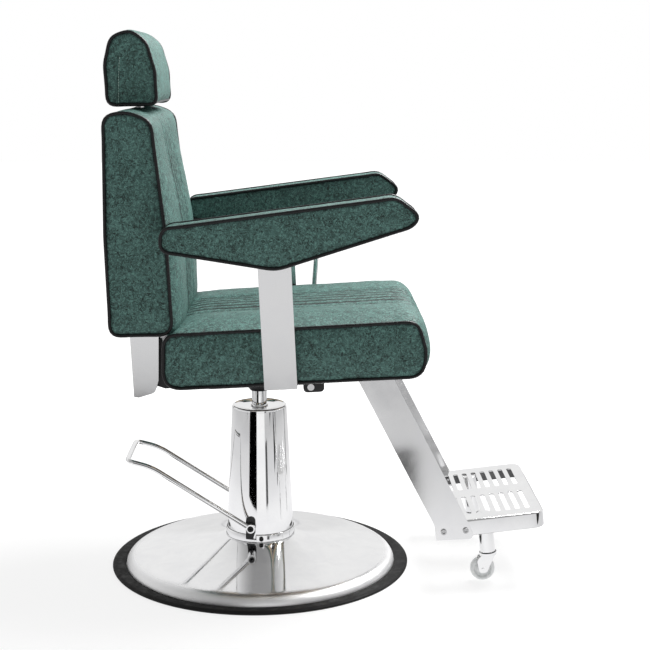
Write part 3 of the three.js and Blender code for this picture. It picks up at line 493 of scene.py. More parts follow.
def outward(ring):
    """Unit normals of a closed outline that runs anticlockwise."""
    along = np.roll(ring, -1, 0) - np.roll(ring, 1, 0)
    along /= np.linalg.norm(along, axis=1)[:, None]
    return np.stack([along[:, 1], -along[:, 0]], axis=1)


def smooth(low, high, value):
    t = np.clip((value - low) / (high - low), 0, 1)
    return t * t * (3 - 2 * t)


def filled_side(ring, spacing):
    """Inner points and triangles that fill an outline evenly."""
    low, high = ring.min(0), ring.max(0)
    inner = []
    row = 0
    z = low[1] + spacing * 0.5
    while z < high[1]:
        x = low[0] + spacing * (0.5 if row % 2 else 1.0)
        while x < high[0]:
            inner.append((x, z))
            x += spacing
        z += spacing * 0.87
        row += 1
    inner = np.array(inner)
    gaps = np.linalg.norm(inner[:, None] - ring[None], axis=2)
    nearest = gaps.argmin(1)
    inside = ((inner - ring[nearest]) * outward(ring)[nearest]).sum(1) < 0
    inner = inner[inside & (gaps.min(1) > spacing * 0.6)]
    points = [Vector(p) for p in np.vstack([ring, inner])]
    made = delaunay_2d_cdt(points, [], [list(range(len(ring)))], 1, 1e-7)
    index = [originals[0] for originals in made[3]]
    return inner, [[index[i] for i in face] for face in made[2]]


def padded_body(name, ring, low, high, crown, weight, breaks, step=0.0075, dome=0.003):
    """A cushion's skin: a band swept across the chair between two filled sides.

    crown(distance from the side) is how far the band stands out, times weight at each outline point.
    breaks are Y values that have a row of vertices exactly on them.
    """
    wanted = [b + d for b in breaks for d in (-0.0030, 0.0, 0.0030)]
    stops = sorted({low, high, *[b for b in wanted if low < b < high]})
    rows = []
    for a, b in zip(stops, stops[1:]):
        rows += list(np.linspace(a, b, max(1, int(round((b - a) / step))), endpoint=False))
    rows.append(high)
    normals = outward(ring)
    run = np.linalg.norm(np.roll(ring, -1, 0) - ring, axis=1).cumsum()
    run = np.concatenate([[0], run[:-1]])
    verts, along, across = [], [], []
    for y in rows:
        stand = crown(min(y - low, high - y)) * weight
        for (x, z), (nx, nz), out, s in zip(ring, normals, stand, run):
            verts.append((x + nx * out, y, z + nz * out))
            along.append(s)
            across.append(y)
    n = len(ring)
    faces = []
    for j in range(len(rows) - 1):
        for i in range(n):
            k = (i + 1) % n
            faces.append([j * n + i, j * n + k, (j + 1) * n + k, (j + 1) * n + i])
    band = len(verts)
    inner, triangles = filled_side(ring, step * 1.1)
    depth = np.linalg.norm(inner[:, None] - ring[None], axis=2).min(1)
    for y, sign, first in ((low, -1, 0), (high, 1, (len(rows) - 1) * n)):
        start = len(verts)
        for (x, z), d in zip(inner, depth):
            verts.append((x, y + sign * dome * (1 - math.exp(-d / 0.02)), z))
            along.append(0)
            across.append(y)
        for face in triangles:
            faces.append([first + i if i < n else start + i - n for i in face])
    mesh = bpy.data.meshes.new(name)
    mesh.from_pydata(verts, [], faces)
    work = bmesh.new()
    work.from_mesh(mesh)
    bmesh.ops.recalc_face_normals(work, faces=work.faces)
    work.to_mesh(mesh)
    work.free()
    on_band = np.zeros(len(verts), np.float32)
    on_band[:band] = 1
    strength = np.concatenate([np.tile(weight, len(rows)), np.zeros(len(verts) - band)])
    for key, values in (("along", along), ("across", across), ("band", on_band), ("weight", strength)):
        mesh.attributes.new(key, "FLOAT", "POINT").data.foreach_set("value", np.array(values, np.float32))
    return linked(name, mesh)


def read_points(mesh):
    co = np.zeros(len(mesh.vertices) * 3, np.float32)
    mesh.vertices.foreach_get("co", co)
    return co.reshape(-1, 3).astype(float)


def read_value(mesh, key):
    values = np.zeros(len(mesh.vertices), np.float32)
    mesh.attributes[key].data.foreach_get("value", values)
    return values.astype(float)


def puff(obj, held, cap):
    """Inflates a skin as cloth while the vertices in held stay put, then caps how far it went."""
    mesh = obj.data
    rest = read_points(mesh)
    group = obj.vertex_groups.new(name="held")
    group.add([int(i) for i in np.flatnonzero(held)], 1.0, "REPLACE")
    cloth = obj.modifiers.new("cloth", "CLOTH")
    settings = cloth.settings
    settings.quality = PUFF["quality"]
    settings.mass = 0.3
    settings.tension_stiffness = PUFF["stiffness"]
    settings.compression_stiffness = PUFF["stiffness"]
    settings.shear_stiffness = PUFF["stiffness"] / 2
    settings.bending_stiffness = 1.0
    settings.use_pressure = True
    settings.uniform_pressure_force = PUFF["pressure"]
    settings.vertex_group_mass = group.name
    settings.effector_weights.gravity = 0
    cloth.point_cache.frame_start = 1
    cloth.point_cache.frame_end = PUFF["frames"]
    scene = bpy.context.scene
    for number in range(1, PUFF["frames"] + 1):
        scene.frame_set(number)
    done = obj.evaluated_get(bpy.context.evaluated_depsgraph_get())
    moved = read_points(done.data) - rest
    obj.modifiers.remove(cloth)
    obj.vertex_groups.remove(group)
    scene.frame_set(1)
    size = np.linalg.norm(moved, axis=1)
    soft = cap * np.tanh(size / cap)
    moved *= (soft / np.maximum(size, 1e-9))[:, None]
    mesh.vertices.foreach_set("co", (rest + moved).astype(np.float32).ravel())
    mesh.update()


def subdivided(obj):
    """The object's mesh after one subdivision, with its attributes carried along."""
    modifier = obj.modifiers.new("finer", "SUBSURF")
    modifier.levels = 1
    modifier.boundary_smooth = "PRESERVE_CORNERS"
    bpy.context.view_layer.update()
    made = bpy.data.meshes.new_from_object(obj.evaluated_get(bpy.context.evaluated_depsgraph_get()))
    obj.modifiers.remove(modifier)
    old = obj.data
    obj.data = made
    made.name = obj.name
    bpy.data.meshes.remove(old)


def gathers(distance, along, kind, phase=0.0):
    """Small pleats at a distance from a stitched line, as a share of their full depth."""
    near = np.exp(-(((distance - kind["offset"]) / kind["width"]) ** 2))
    return near * (0.5 + 0.5 * np.sin(along * 2 * np.pi / kind["length"] + phase))


def sew(obj, lines, low, high, pucker, slack):
    """Presses seams and sewn channels into a finished skin and marks its grooves, where the leather gets
    painted shade, and its crests.

    lines are (y, depth, half width) of the sewn lines. The leather rises from each as a round puff.
    """
    mesh = obj.data
    points = read_points(mesh)
    normals = np.zeros(len(mesh.vertices) * 3, np.float32)
    mesh.vertices.foreach_get("normal", normals)
    normals = normals.reshape(-1, 3).astype(float)
    across, along = read_value(mesh, "across"), read_value(mesh, "along")
    band, weight = read_value(mesh, "band"), read_value(mesh, "weight")
    shown = smooth(0.15, 0.5, weight) * band
    press = np.zeros(len(points))
    groove = np.zeros(len(points))
    for y, depth, half in lines:
        near = np.clip(1 - np.abs(across - y) / half, 0, 1)
        press = np.maximum(press, depth * (1 - np.sqrt(1 - near**2)) * shown)
        # groove: where the painted seam shade goes, strongest down each sewn line
        groove = np.maximum(groove, np.exp(-((np.abs(across - y) / GROOVE) ** 2)) * shown)
        press += pucker * gathers(np.abs(across - y), along, PUCKER, y * 90) * shown
    edge = np.minimum(across - low, high - across)
    press += pucker * gathers(edge, along, EDGE_PUCKER) * band
    drift = np.array([noise.fractal(Vector(p) * 22.0, 0.6, 2.0, 3) for p in points])
    press += slack * drift
    points -= normals * press[:, None]
    mesh.vertices.foreach_set("co", points.astype(np.float32).ravel())
    crest = np.clip(1 - groove, 0, 1) * smooth(0.25, 1.0, weight) * band
    # near_edge: painted shade at half strength along the seams beside the piping
    near_edge = np.exp(-((np.clip(edge, 0, 1) / 0.004) ** 2)) * band
    for key, values in (("groove", np.maximum(groove, 0.5 * near_edge)), ("crest", crest * 0.6)):
        mesh.attributes.new(key, "FLOAT", "POINT").data.foreach_set("value", values.astype(np.float32))
    for key in ("along", "across", "band", "weight"):
        mesh.attributes.remove(mesh.attributes[key])
    mesh.update()


def welts(prefix, ring, low, high, body):
    """Black piping in the seam round both side faces."""
    normals = outward(ring)
    for side, y, sign in (("left", high, 1), ("right", low, -1)):
        seam = ring + normals * 0.0004
        edge = [(x, y + sign * 0.0002, z) for x, z in seam]
        cord = tube(f"{prefix}_piping_{side}", edge, WELT, sides=16, closed=True)
        finish_piece(cord, body, PIPING, 60)


def ellipse(height, width):
    """A crown that rises as a quarter ellipse from the side seam."""
    return lambda d: height * math.sqrt(max(0.0, 1 - (1 - min(d / width, 1)) ** 2))


def upholster(
    name, node, body, ring, crown, weight, lines, cap,
    held_rows=(), step=0.0075, dome=0.006, pucker=0.0006, slack=0.0007,
):
    """One cushion from start to end: skin, cloth simulation, seams, piping."""
    low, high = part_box(node)[0].y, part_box(node)[1].y
    breaks = [y for y, _, _ in lines]
    obj = padded_body(name, ring, low, high, crown, weight, breaks, step, dome)
    across, band = read_value(obj.data, "across"), read_value(obj.data, "band")
    strength = read_value(obj.data, "weight")
    held = (band > 0.5) & ((across < low + 1e-5) | (across > high - 1e-5) | (strength < 0.06))
    for y in held_rows:
        held |= (band > 0.5) & (np.abs(across - y) < 1e-4)
    puff(obj, held, cap)
    subdivided(obj)
    sew(obj, lines, low, high, pucker, slack)
    finish_piece(obj, body, GREEN, 80)
    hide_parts(node)
    welts(name.replace("_upholstery", ""), ring, low, high, body)


def channel_lines(node):
    """The bolster seams and the channel lines between them, as (y, depth, half width)."""
    low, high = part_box(node)[0].y + BOLSTER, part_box(node)[1].y - BOLSTER
    lines = [(low, *SEAM), (high, *SEAM)]
    for k in range(1, CHANNELS):
        lines.append((low + (high - low) * k / CHANNELS, *CHANNEL))
    return lines


def seat_upholstery():
    ring = evenly(side_outline("seat_cushion"), 0.0070)
    normals = outward(ring)
    weight = smooth(-0.25, 0.75, normals[:, 1] + 0.75 * np.clip(normals[:, 0], 0, 1))
    rear = smooth(ring[:, 0].min() + 0.002, ring[:, 0].min() + 0.05, ring[:, 0])
    weight = weight * (0.15 + 0.85 * rear) - 0.10 * smooth(0.6, 0.95, -normals[:, 1])
    lines = channel_lines("seat_cushion")
    upholster(
        "seat_upholstery", "seat_cushion", "seat", ring, ellipse(0.014, 0.085), weight, lines,
        cap=0.007, held_rows=[y for y, _, _ in lines[:2]],
    )


def back_upholstery():
    ring = evenly(side_outline("back_cushion"), 0.0070)
    normals = outward(ring)
    low, high = ring[:, 1].min(), ring[:, 1].max()
    height = (ring[:, 1] - low) / (high - low)
    full = 0.25 + 0.75 * (1 - smooth(0.40, 0.95, height))
    front = smooth(-0.1, 0.7, normals[:, 0] + 0.7 * np.clip(normals[:, 1], 0, 1)) * full
    weight = np.maximum(front, 0.22 * smooth(0.3, 0.9, -normals[:, 0]))
    lines = channel_lines("back_cushion")
    upholster(
        "back_upholstery", "back_cushion", "back", ring, ellipse(0.018, 0.085), weight, lines,
        cap=0.007, held_rows=[y for y, _, _ in lines[:2]],
    )


def headrest_upholstery():
    ring = evenly(side_outline("headrest_cushion"), 0.0055)
    normals = outward(ring)
    weight = smooth(-0.2, 0.7, normals[:, 1] + 0.6 * np.clip(normals[:, 0], 0, 1))
    weight = np.maximum(weight, 0.5 * smooth(0.2, 0.8, normals[:, 0]))
    weight = np.maximum(weight, 0.3 * smooth(0.3, 0.9, -normals[:, 0]))
    upholster(
        "headrest_upholstery", "headrest_cushion", "headrest", ring, ellipse(0.005, 0.05), weight, [],
        cap=0.005, step=0.0065, dome=0.004,
    )


def arm_upholstery():
    for side, _ in BOTH:
        ring = evenly(side_outline("armrest_" + side), 0.0060)
        upholster(
            "armpad_upholstery_" + side, "armrest_" + side, "seat", ring, ellipse(0.0022, 0.02),
            np.ones(len(ring)), [], cap=0.003, step=0.0065, dome=0.0022,
            pucker=0.0004, slack=0.0005,
        )


seat_upholstery()
back_upholstery()
headrest_upholstery()
arm_upholstery()


def headrest_trim():
    """Stitched side seams of the headrest and the piping across the foot of its front."""
    low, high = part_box("headrest_cushion")

    def seam_point(t, y, ahead=0.0, lift=0.0):
        x = low.x + STITCH["from_back"] + STITCH["lean"] * t * t
        return Vector((x + ahead, y, low.z + STITCH["foot"] + STITCH["rise"] * t + lift))

    for side, sign in BOTH:
        face = sign * (high.y + 0.0040)
        ridge = tube("headrest_seam_" + side, [seam_point(t, face) for t in np.linspace(0, 1, 14)], 0.0011, 8)
        finish_piece(ridge, "headrest", GREEN, 60)
        stitches = []
        for t in np.linspace(0.03, 0.97, STITCH["count"]):
            first = seam_point(t, face - sign * 0.0003, 0.0030, -STITCH["half"])
            over = first + Vector((0, sign * 0.0005, STITCH["half"]))
            last = first + Vector((0, 0, 2 * STITCH["half"]))
            stitches.append(tube("stitch", [first, over, last], 0.0006, 8))
        thread = joined("headrest_stitches_" + side, stitches)
        finish_piece(thread, "headrest", THREAD, 60)
    across = np.linspace(low.y + 0.004, high.y - 0.004, 40)
    points = [(high.x - 0.0015, y, low.z + 0.0045) for y in across]
    finish_piece(tube("headrest_foot_piping", points, 0.0024, sides=12), "headrest", PIPING, 60)


headrest_trim()


# ---------------------------------------------------------------- base

DOME = {"crease": 0.050, "shoulder": 0.006, "sheet": 0.0015, "lip": 0.0165, "rise": 0.0205}
ROD = 0.015  # radius of the piston's rod
PISTON_HEAD = 0.028  # height of its head inside the pump
SHROUD_WALL = 0.0015
CAP_LIP = 0.0003  # how far the cap stands out over the shroud


def turned_piece(name, profile, body, slot, material, *nodes, segments=128, smooth_angle=40):
    obj = lathe(name, profile, segments, (AXIS_X, 0, 0))
    finish_piece(obj, body, material, smooth_angle)
    if nodes:
        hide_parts(*nodes)
    return obj


def radius_of(node):
    low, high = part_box(node)
    return (high.x - low.x) / 2


def bumper():
    """The rubber ring under the dome's rim."""
    radius = radius_of("base_ring")
    inner = radius_of("base_cover") + 0.0003
    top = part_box("base_ring")[1].z
    ring = filleted(
        [
            (inner, 0.002, 0.001), (inner + 0.003, 0, 0.001), (radius - 0.002, 0, 0.001),
            (radius, 0.002, 0.001), (radius, top - 0.003, 0.003), (radius - 0.005, top, 0.003),
            (inner + 0.0045, top - 0.0006, 0.001), (inner + 0.0035, top - 0.0016, 0.0006),
            (inner, top - 0.0016, 0.0006),
        ],
        steps=4, closed=True,
    )
    turned_piece("base_bumper", ring, "base", "rubber", RUBBER, "base_ring", segments=160)


def dome():
    """The pressed cover: a rim that turns down outside a crease, and a slope up to the shroud."""
    edge = radius_of("base_cover")
    foot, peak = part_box("base_cover")[0].z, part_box("base_cover")[1].z
    crease = radius_of("base_ring") - DOME["crease"]
    crease_z = foot + DOME["rise"]
    shoulder = radius_of("shroud") + DOME["shoulder"]
    lip = bezier((edge, foot + 0.002), (edge - 0.0015, foot + DOME["lip"]), (crease, crease_z), 16)
    slope = bezier((crease, crease_z), (shoulder + 0.046, crease_z + 0.0185), (shoulder, peak - 0.0006), 40)
    outside = [(edge, foot)] + lip + slope[1:]
    hole = shoulder - 0.012
    outside += [(shoulder - 0.003, peak), (hole, peak)]
    inside = [(hole, peak - DOME["sheet"])]
    inside += [(p.x - 0.0004, p.y - DOME["sheet"]) for p in reversed(slope)]
    inside.append((edge - DOME["sheet"], foot))
    pressed = chrome_finish("pressed_chrome", dull_below=crease_z)
    turned_piece(
        "base_dome", outside + inside, "base", "chrome", pressed, "base_cover", segments=192, smooth_angle=50
    )


def shroud():
    low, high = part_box("shroud")
    bottom = radius_of("shroud")
    upper = radius_of("shroud_cap") - CAP_LIP
    cone = [(bottom + (upper - bottom) * t, low.z + (high.z - low.z) * t) for t in np.linspace(0, 1, 9)]
    profile = cone + [(upper - SHROUD_WALL, high.z), (bottom - SHROUD_WALL, low.z)]
    turned_piece("pump_shroud", profile, "base", "chrome", CHROME, "shroud", segments=128)


def cap():
    """The shroud's dished cap, with a bore that clears the piston's rod."""
    upper = radius_of("shroud_cap") - CAP_LIP
    bore = ROD + 0.0015
    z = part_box("shroud_cap")[0].z
    profile = filleted(
        [
            (upper, z, 0), (upper + CAP_LIP, z + 0.0035, 0.002), (upper - 0.0022, z + 0.0056, 0.0022),
            (upper - 0.0052, z + 0.0042, 0.002), (upper - 0.022, z + 0.0018, 0.012),
            (bore + 0.004, z + 0.0020, 0.003), (bore, z + 0.0012, 0.0008), (bore, z, 0),
        ],
        steps=5,
    )
    turned_piece("pump_cap", profile, "base", "chrome", CHROME, "shroud_cap", segments=128)


def collar():
    """The clamp ring round the foot of the shroud, open where the axle's guides come down."""
    low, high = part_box("shroud_collar")
    outer = radius_of("shroud_collar")
    inner = radius_of("shroud") + 0.0003
    guide_low, guide_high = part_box("axle_guide_right")
    split = guide_low.z - 0.0003
    full = [(inner, low.z, 0), (outer - 0.0002, low.z, 0.001), (outer, low.z + 0.0008, 0.0004)]
    full += [(outer, split, 0), (inner, split, 0)]
    parts = [lathe("ring", filleted(full), origin=(AXIS_X, 0, 0))]
    upper = [(inner, split, 0), (outer, split, 0), (outer, high.z - 0.0015, 0.001)]
    upper += [(outer - 0.0012, high.z, 0.001), (inner, high.z, 0)]
    profile = filleted(upper)
    near = math.degrees(math.asin((guide_high.x + 0.0003 - AXIS_X) / outer))
    far = math.degrees(math.asin((guide_low.x - 0.0003 - AXIS_X) / outer))
    for sweep in ((-90 + near, 90 - near), (90 - far, 270 + far)):
        parts.append(lathe("arc", profile, segments=64, origin=(AXIS_X, 0, 0), sweep=sweep))
    obj = finish_piece(joined("clamp_collar", parts), "base", CHROME, 40)
    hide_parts("shroud_collar")


def piston():
    low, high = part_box("piston_rod")
    head = radius_of("piston_rod")
    profile = filleted(
        [
            (0, low.z, 0), (head, low.z, 0.001), (head, low.z + PISTON_HEAD, 0.001),
            (ROD, low.z + PISTON_HEAD, 0), (ROD, high.z, 0.002), (0, high.z, 0),
        ],
    )
    turned_piece("lift_piston", profile, "piston", "chrome", CHROME, "piston_rod", segments=96)
    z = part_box("pump_gland")[1].z
    seal = filleted(
        [
            (ROD + 0.0002, z + 0.0002, 0), (ROD + 0.0034, z + 0.0002, 0.0008),
            (ROD + 0.0012, z + 0.0042, 0.0008), (ROD + 0.0002, z + 0.0042, 0),
        ],
    )
    turned_piece("piston_wiper", seal, "base", "rubber", RUBBER, segments=64)


bumper()
dome()
shroud()
cap()
collar()
piston()


# ---------------------------------------------------------------- pedal

PEDAL = {
    "rod": 0.005, "boss": 0.0095, "bore": 0.0063,
    "knee": (-0.1947, 0.1278), "knee_bend": 0.022,  # from the axle, along X and Z
    "end": (-0.2407, 0.1398), "bend": 0.016,
}


def pedal():
    x, _, z = JOINTS["pedal_press"]["pos_m"]
    half = PEDAL["rod"]
    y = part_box("foot_pedal")[1].y - half
    kx, kz = x + PEDAL["knee"][0], z + PEDAL["knee"][1]
    ex, ez = x + PEDAL["end"][0], z + PEDAL["end"][1]
    start = Vector((kx - x, 0, kz - z)).normalized() * (PEDAL["boss"] - 0.001)
    corners = [
        (x + start.x, -y, z + start.z, 0), (kx, -y, kz, PEDAL["knee_bend"]), (ex, -y, ez, PEDAL["bend"]),
        (ex, y, ez, PEDAL["bend"]), (kx, y, kz, PEDAL["knee_bend"]), (x + start.x, y, z + start.z, 0),
    ]
    parts = [tube("bow", rounded_path(corners, 10), PEDAL["rod"], sides=20)]
    bore, outer = PEDAL["bore"], PEDAL["boss"]
    profile = filleted(
        [(bore, -half, 0), (outer, -half, 0.001), (outer, half, 0.001), (bore, half, 0)], steps=4
    )
    for sign in (1, -1):
        parts.append(lathe("boss", profile, 48, (x, sign * y, z), "Y"))
    obj = finish_piece(joined("pedal_bow", parts), "pedal", CHROME, 50)
    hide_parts("foot_pedal")


pedal()


# ---------------------------------------------------------------- footrest

SLOTS = {"count": 9, "pitch": 0.019, "width": 0.011, "length": 0.112, "strip": 0.044, "front": 0.027}
SHEET = {"thickness": 0.0025, "bend": 0.0035, "corner": 0.022}
WASHER = {"bore": 0.0064, "radius": 0.0088}
ROLLER = {"bore": 0.0034, "boss": 0.0075, "rim": 0.0085, "proud": 0.0002, "dish": 0.0032}


def loop(curve, points):
    spline = curve.splines.new("POLY")
    spline.points.add(len(points) - 1)
    for target, (u, v) in zip(spline.points, points):
        target.co = (u, v, 0, 1)
    spline.use_cyclic_u = True


def slot_loop(u, y0, y1, half, steps=8):
    """A slot across the tread with round ends."""
    ends = []
    for centre, start in ((y1, 0.0), (y0, math.pi)):
        for k in range(steps + 1):
            a = start + math.pi * k / steps
            ends.append((u + half * math.cos(a), centre + half * math.sin(a)))
    return ends


def tread_top(plan, length):
    """The slotted sheet, its upper face at height 0."""
    curve = bpy.data.curves.new("tread_top", "CURVE")
    curve.dimensions = "2D"
    curve.fill_mode = "BOTH"
    edge = 0.0004
    curve.extrude = SHEET["thickness"] / 2 - edge
    curve.bevel_depth = edge
    curve.bevel_resolution = 1
    loop(curve, filleted(plan, steps=12, closed=True))
    r = SLOTS["width"] / 2
    near, far = SLOTS["strip"] / 2 + r, SLOTS["strip"] / 2 + SLOTS["length"] - r
    for y0, y1 in ((near, far), (-far, -near)):
        for i in range(SLOTS["count"]):
            loop(curve, slot_loop(length - SLOTS["front"] - i * SLOTS["pitch"], y0, y1, r - edge))
    flat = linked("tread_top", curve)
    bpy.context.view_layer.update()
    mesh = bpy.data.meshes.new_from_object(flat.evaluated_get(bpy.context.evaluated_depsgraph_get()))
    bpy.data.objects.remove(flat)
    mesh.transform(Matrix.Translation((0, 0, -SHEET["thickness"] / 2)))
    return linked("top", mesh)


def tread_skirt(plan, depth):
    """The edge that rolls over from the top and hangs down along the front and the sides."""
    bend, sheet, edge = SHEET["bend"], SHEET["thickness"], 0.0006
    section = [(0.0, 0.0)]
    section += [(bend * math.sin(a), -bend * (1 - math.cos(a))) for a in np.linspace(0.15, math.pi / 2, 7)]
    section += [(bend, -depth + edge), (bend - edge, -depth)]
    section += [(bend - sheet + edge, -depth), (bend - sheet, -depth + edge)]
    section += [(bend - sheet, -bend), (bend - sheet - 0.0008, -sheet), (0.0, -sheet)]
    route = filleted(plan, steps=12)
    verts, faces = [], []
    count, n = len(route), len(section)
    for i, p in enumerate(route):
        ahead = (route[min(i + 1, count - 1)] - route[max(i - 1, 0)]).normalized()
        out = Vector((ahead.y, -ahead.x))
        for s, w in section:
            verts.append((*(p + out * s), w))
    for i in range(count - 1):
        for k in range(n):
            m = (k + 1) % n
            faces.append([i * n + k, i * n + m, (i + 1) * n + m, (i + 1) * n + k])
    faces += [list(range(n)), [(count - 1) * n + k for k in range(n)]]
    return new_object("skirt", verts, faces)


def tread():
    """A pressed sheet: plated outside; inside the skirt and underneath a very dark steel that paints the
    shade under the tread.
    """
    along = Vector((TREAD_UP.z, 0, -TREAD_UP.x))
    u0, u1 = extent("footrest_tread", along)
    w0, w1 = extent("footrest_tread", TREAD_UP)
    half = extent("footrest_tread", Vector((0, 1, 0)))[1]
    length, bend = u1 - u0, SHEET["bend"]
    flat = half - bend
    plan = [(0, -flat, 0), (length - bend, -flat, SHEET["corner"])]
    plan += [(length - bend, flat, SHEET["corner"]), (0, flat, 0)]
    obj = joined("footrest_plate", [tread_top(plan, length), tread_skirt(plan, w1 - w0)])
    obj.data.materials.append(CHROME)
    obj.data.materials.append(TREAD_SHADE_STEEL)
    # faces inside the skirt and underneath get the dark steel: painted shade
    for face in obj.data.polygons:
        inward = Vector((length / 2 - face.center.x, -face.center.y)).normalized()
        hidden = face.normal.z < -0.5 or face.normal.xy.dot(inward) > 0.3
        if hidden and face.center.z < -SHEET["thickness"] * 0.9:
            face.material_index = 1
    obj.data.transform(
        Matrix((
            (along.x, 0, TREAD_UP.x, along.x * u0 + TREAD_UP.x * w1),
            (0, 1, 0, 0),
            (along.z, 0, TREAD_UP.z, along.z * u0 + TREAD_UP.z * w1),
            (0, 0, 0, 1),
        ))
    )
    finish_piece(obj, "seat", CHROME, 35)
    level = [abs(face.normal.dot(TREAD_UP)) < 0.999 for face in obj.data.polygons]
    obj.data.polygons.foreach_set("use_smooth", level)
    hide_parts("footrest_tread")


def caster_wheels():
    """Moulded rollers: a rounded tread, a dished web and a hub boss."""
    for side, _ in BOTH:
        node = "caster_wheel_" + side
        low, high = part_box(node)
        middle = (low + high) / 2
        r, half = (high.x - low.x) / 2, (high.y - low.y) / 2
        hub, web = half - ROLLER["proud"], half - ROLLER["dish"]
        face = [(ROLLER["bore"], hub, 0.0004), (ROLLER["boss"], hub, 0.001)]
        face += [(ROLLER["boss"] + 0.001, web, 0.001), (r - ROLLER["rim"], web, 0.0015)]
        face += [(r - ROLLER["rim"] + 0.0017, hub, 0.0012), (r - 0.003, half, 0.002)]
        face += [(r, half - 0.003, 0.003)]
        mirrored = [(a, -b, c) for a, b, c in reversed(face)]
        profile = filleted(face + mirrored, steps=4, closed=True)
        obj = lathe("caster_roller_" + side, profile, 72, tuple(middle), "Y")
        finish_piece(obj, "wheel_" + side, WHEEL, 40)
        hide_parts(node)


def screw_washers():
    """A dished ring round each footrest screw."""
    for place in ("front", "rear"):
        for side, sign in BOTH:
            low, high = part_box(f"foot_screw_{place}_{side}")
            middle = (low + high) / 2
            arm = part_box("footrest_arm_" + side)
            face = arm[1].y if sign > 0 else arm[0].y
            bore, rim = WASHER["bore"], WASHER["radius"]
            profile = filleted(
                [
                    (bore, 0.0001, 0), (rim, 0.0001, 0.0003), (rim - 0.0004, 0.0012, 0.0005),
                    (rim - 0.0016, 0.0016, 0.0004), (bore + 0.0006, 0.0008, 0.0003), (bore, 0.0006, 0),
                ],
            )
            outline = [(p.x, -sign * p.y) for p in profile]
            ring = lathe(f"foot_washer_{place}_{side}", outline, 48, (middle.x, face, middle.z), "Y")
            finish_piece(ring, "seat", STEEL, 40)


tread()
screw_washers()
caster_wheels()


# ---------------------------------------------------------------- lever knob


def knob():
    low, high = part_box("lever_knob")
    middle = (low + high) / 2
    r = (high.y - low.y) / 2
    profile = [(0.0056, -r * 0.92), (0.0078, -r * 0.92)]
    profile += [(r * math.cos(a), r * math.sin(a)) for a in np.linspace(-0.88, -0.03, 14)]
    profile += [(r - 0.0004, 0.0), (r * math.cos(0.03), r * math.sin(0.03))]
    profile += [(r * math.cos(a), r * math.sin(a)) for a in np.linspace(0.1, math.pi / 2, 20)]
    profile[-1] = (0.0, r)
    profile += [(0.0, -r * 0.4), (0.0056, -r * 0.4)]
    obj = lathe("recline_knob", profile, 64)
    pivot = JOINTS["lever_push"]["pos_m"]
    lean = Vector((middle.x - pivot[0], 0, middle.z - pivot[2])).normalized()
    turn = Vector((0, 0, 1)).rotation_difference(lean).to_matrix().to_4x4()
    obj.data.transform(Matrix.Translation(middle) @ turn)
    finish_piece(obj, "lever", PLASTIC, 50)
    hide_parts("lever_knob")


knob()


# ---------------------------------------------------------------- carried-over frame nodes

SLOT_FINISH = {
    "chrome": CHROME,
    "steel": STEEL,
    "black_steel": POWDER,
    "rubber": RUBBER,
    "leather": GREEN,
    "plywood": PLYWOOD,
    "plastic": PLASTIC,
    "wheel": WHEEL,
}
FLAT_BARS = ("arm_column", "footrest_arm", "back_bracket", "headrest_post")


def dress_frame():
    """Every node that shows gets its finish, smooth shading and softened edges; its mesh stays."""
    slots = {row["node"]: row["material_slot"] for row in frame["record"]["subparts"]}
    for name, obj in frame["nodes"].items():
        finish = SLOT_FINISH[slots[name]]
        if name.startswith(FLAT_BARS):
            finish = SATIN
        if name == "pedal_axle":
            finish = POWDER
        obj.data.materials.clear()
        obj.data.materials.append(finish)
        for slot in obj.material_slots:
            slot.material = finish
        if obj.hide_render:
            continue
        if "custom_normal" in obj.data.attributes:
            obj.data.attributes.remove(obj.data.attributes["custom_normal"])
        obj.data.polygons.foreach_set("use_smooth", [True] * len(obj.data.polygons))
        weld = obj.modifiers.new("weld", "WELD")
        weld.merge_threshold = 1e-5
        edge = obj.modifiers.new("edges", "BEVEL")
        edge.width = 0.0007
        edge.segments = 2
        edge.limit_method = "ANGLE"
        edge.angle_limit = math.radians(38)
        edge.harden_normals = True


dress_frame()


# ---------------------------------------------------------------- studio

ROOM = {"horizon": 0.80, "wall": 0.90, "top": 0.45, "front": 0.45}
FLOOR = {
    "glow": 0.78,
    "shade": 0.25,
    "mirrored": [(0.0, 0.62), (0.45, 0.98), (1.2, 0.74), (1.95, 0.56), (2.5, 0.76), (4.0, 0.80)],
}
KEY = 95  # watts of the overhead softbox
CARDS = {  # Y, from and to X from the pump's axis, height, brightness
    "flag_front": (-0.62, -0.47, -0.105, 0.285, 0.0),
    "white_front": (-0.621, -0.10, 0.24, 0.262, 1.0),
    "flag_back_left": (1.3, -1.9, -0.80, 0.3, 0.02),
    "flag_back_right": (1.3, 0.95, 2.0, 0.3, 0.02),
    "flag_far_left": (-1.4, -2.6, -1.5, 0.25, 0.05),
    "flag_far_right": (-1.4, 1.3, 2.4, 0.25, 0.05),
    "flag_caster_right": (-0.55, 0.85, 1.5, 0.20, 0.03),
    "flag_caster_left": (-0.60, 0.25, 0.34, 0.16, 0.10),
}


def glowing(name):
    """A material that only shines, as its node tree and its emission shader."""
    made = bpy.data.materials.new(name)
    made.use_nodes = True
    tree = made.node_tree
    tree.nodes.clear()
    glow = tree.nodes.new("ShaderNodeEmission")
    out = tree.nodes.new("ShaderNodeOutputMaterial")
    tree.links.new(glow.outputs[0], out.inputs["Surface"])
    return made, tree, glow


def reflected_only(obj, material):
    """Makes an object part of the studio that nothing but reflections see."""
    obj.data.materials.append(material)
    obj.visible_camera = False
    obj.visible_diffuse = False
    obj.visible_shadow = False


def stops(ramp, count):
    """The ramp's colour stops, brought up to count."""
    while len(ramp.color_ramp.elements) < count:
        ramp.color_ramp.elements.new(1.0)
    return list(ramp.color_ramp.elements)


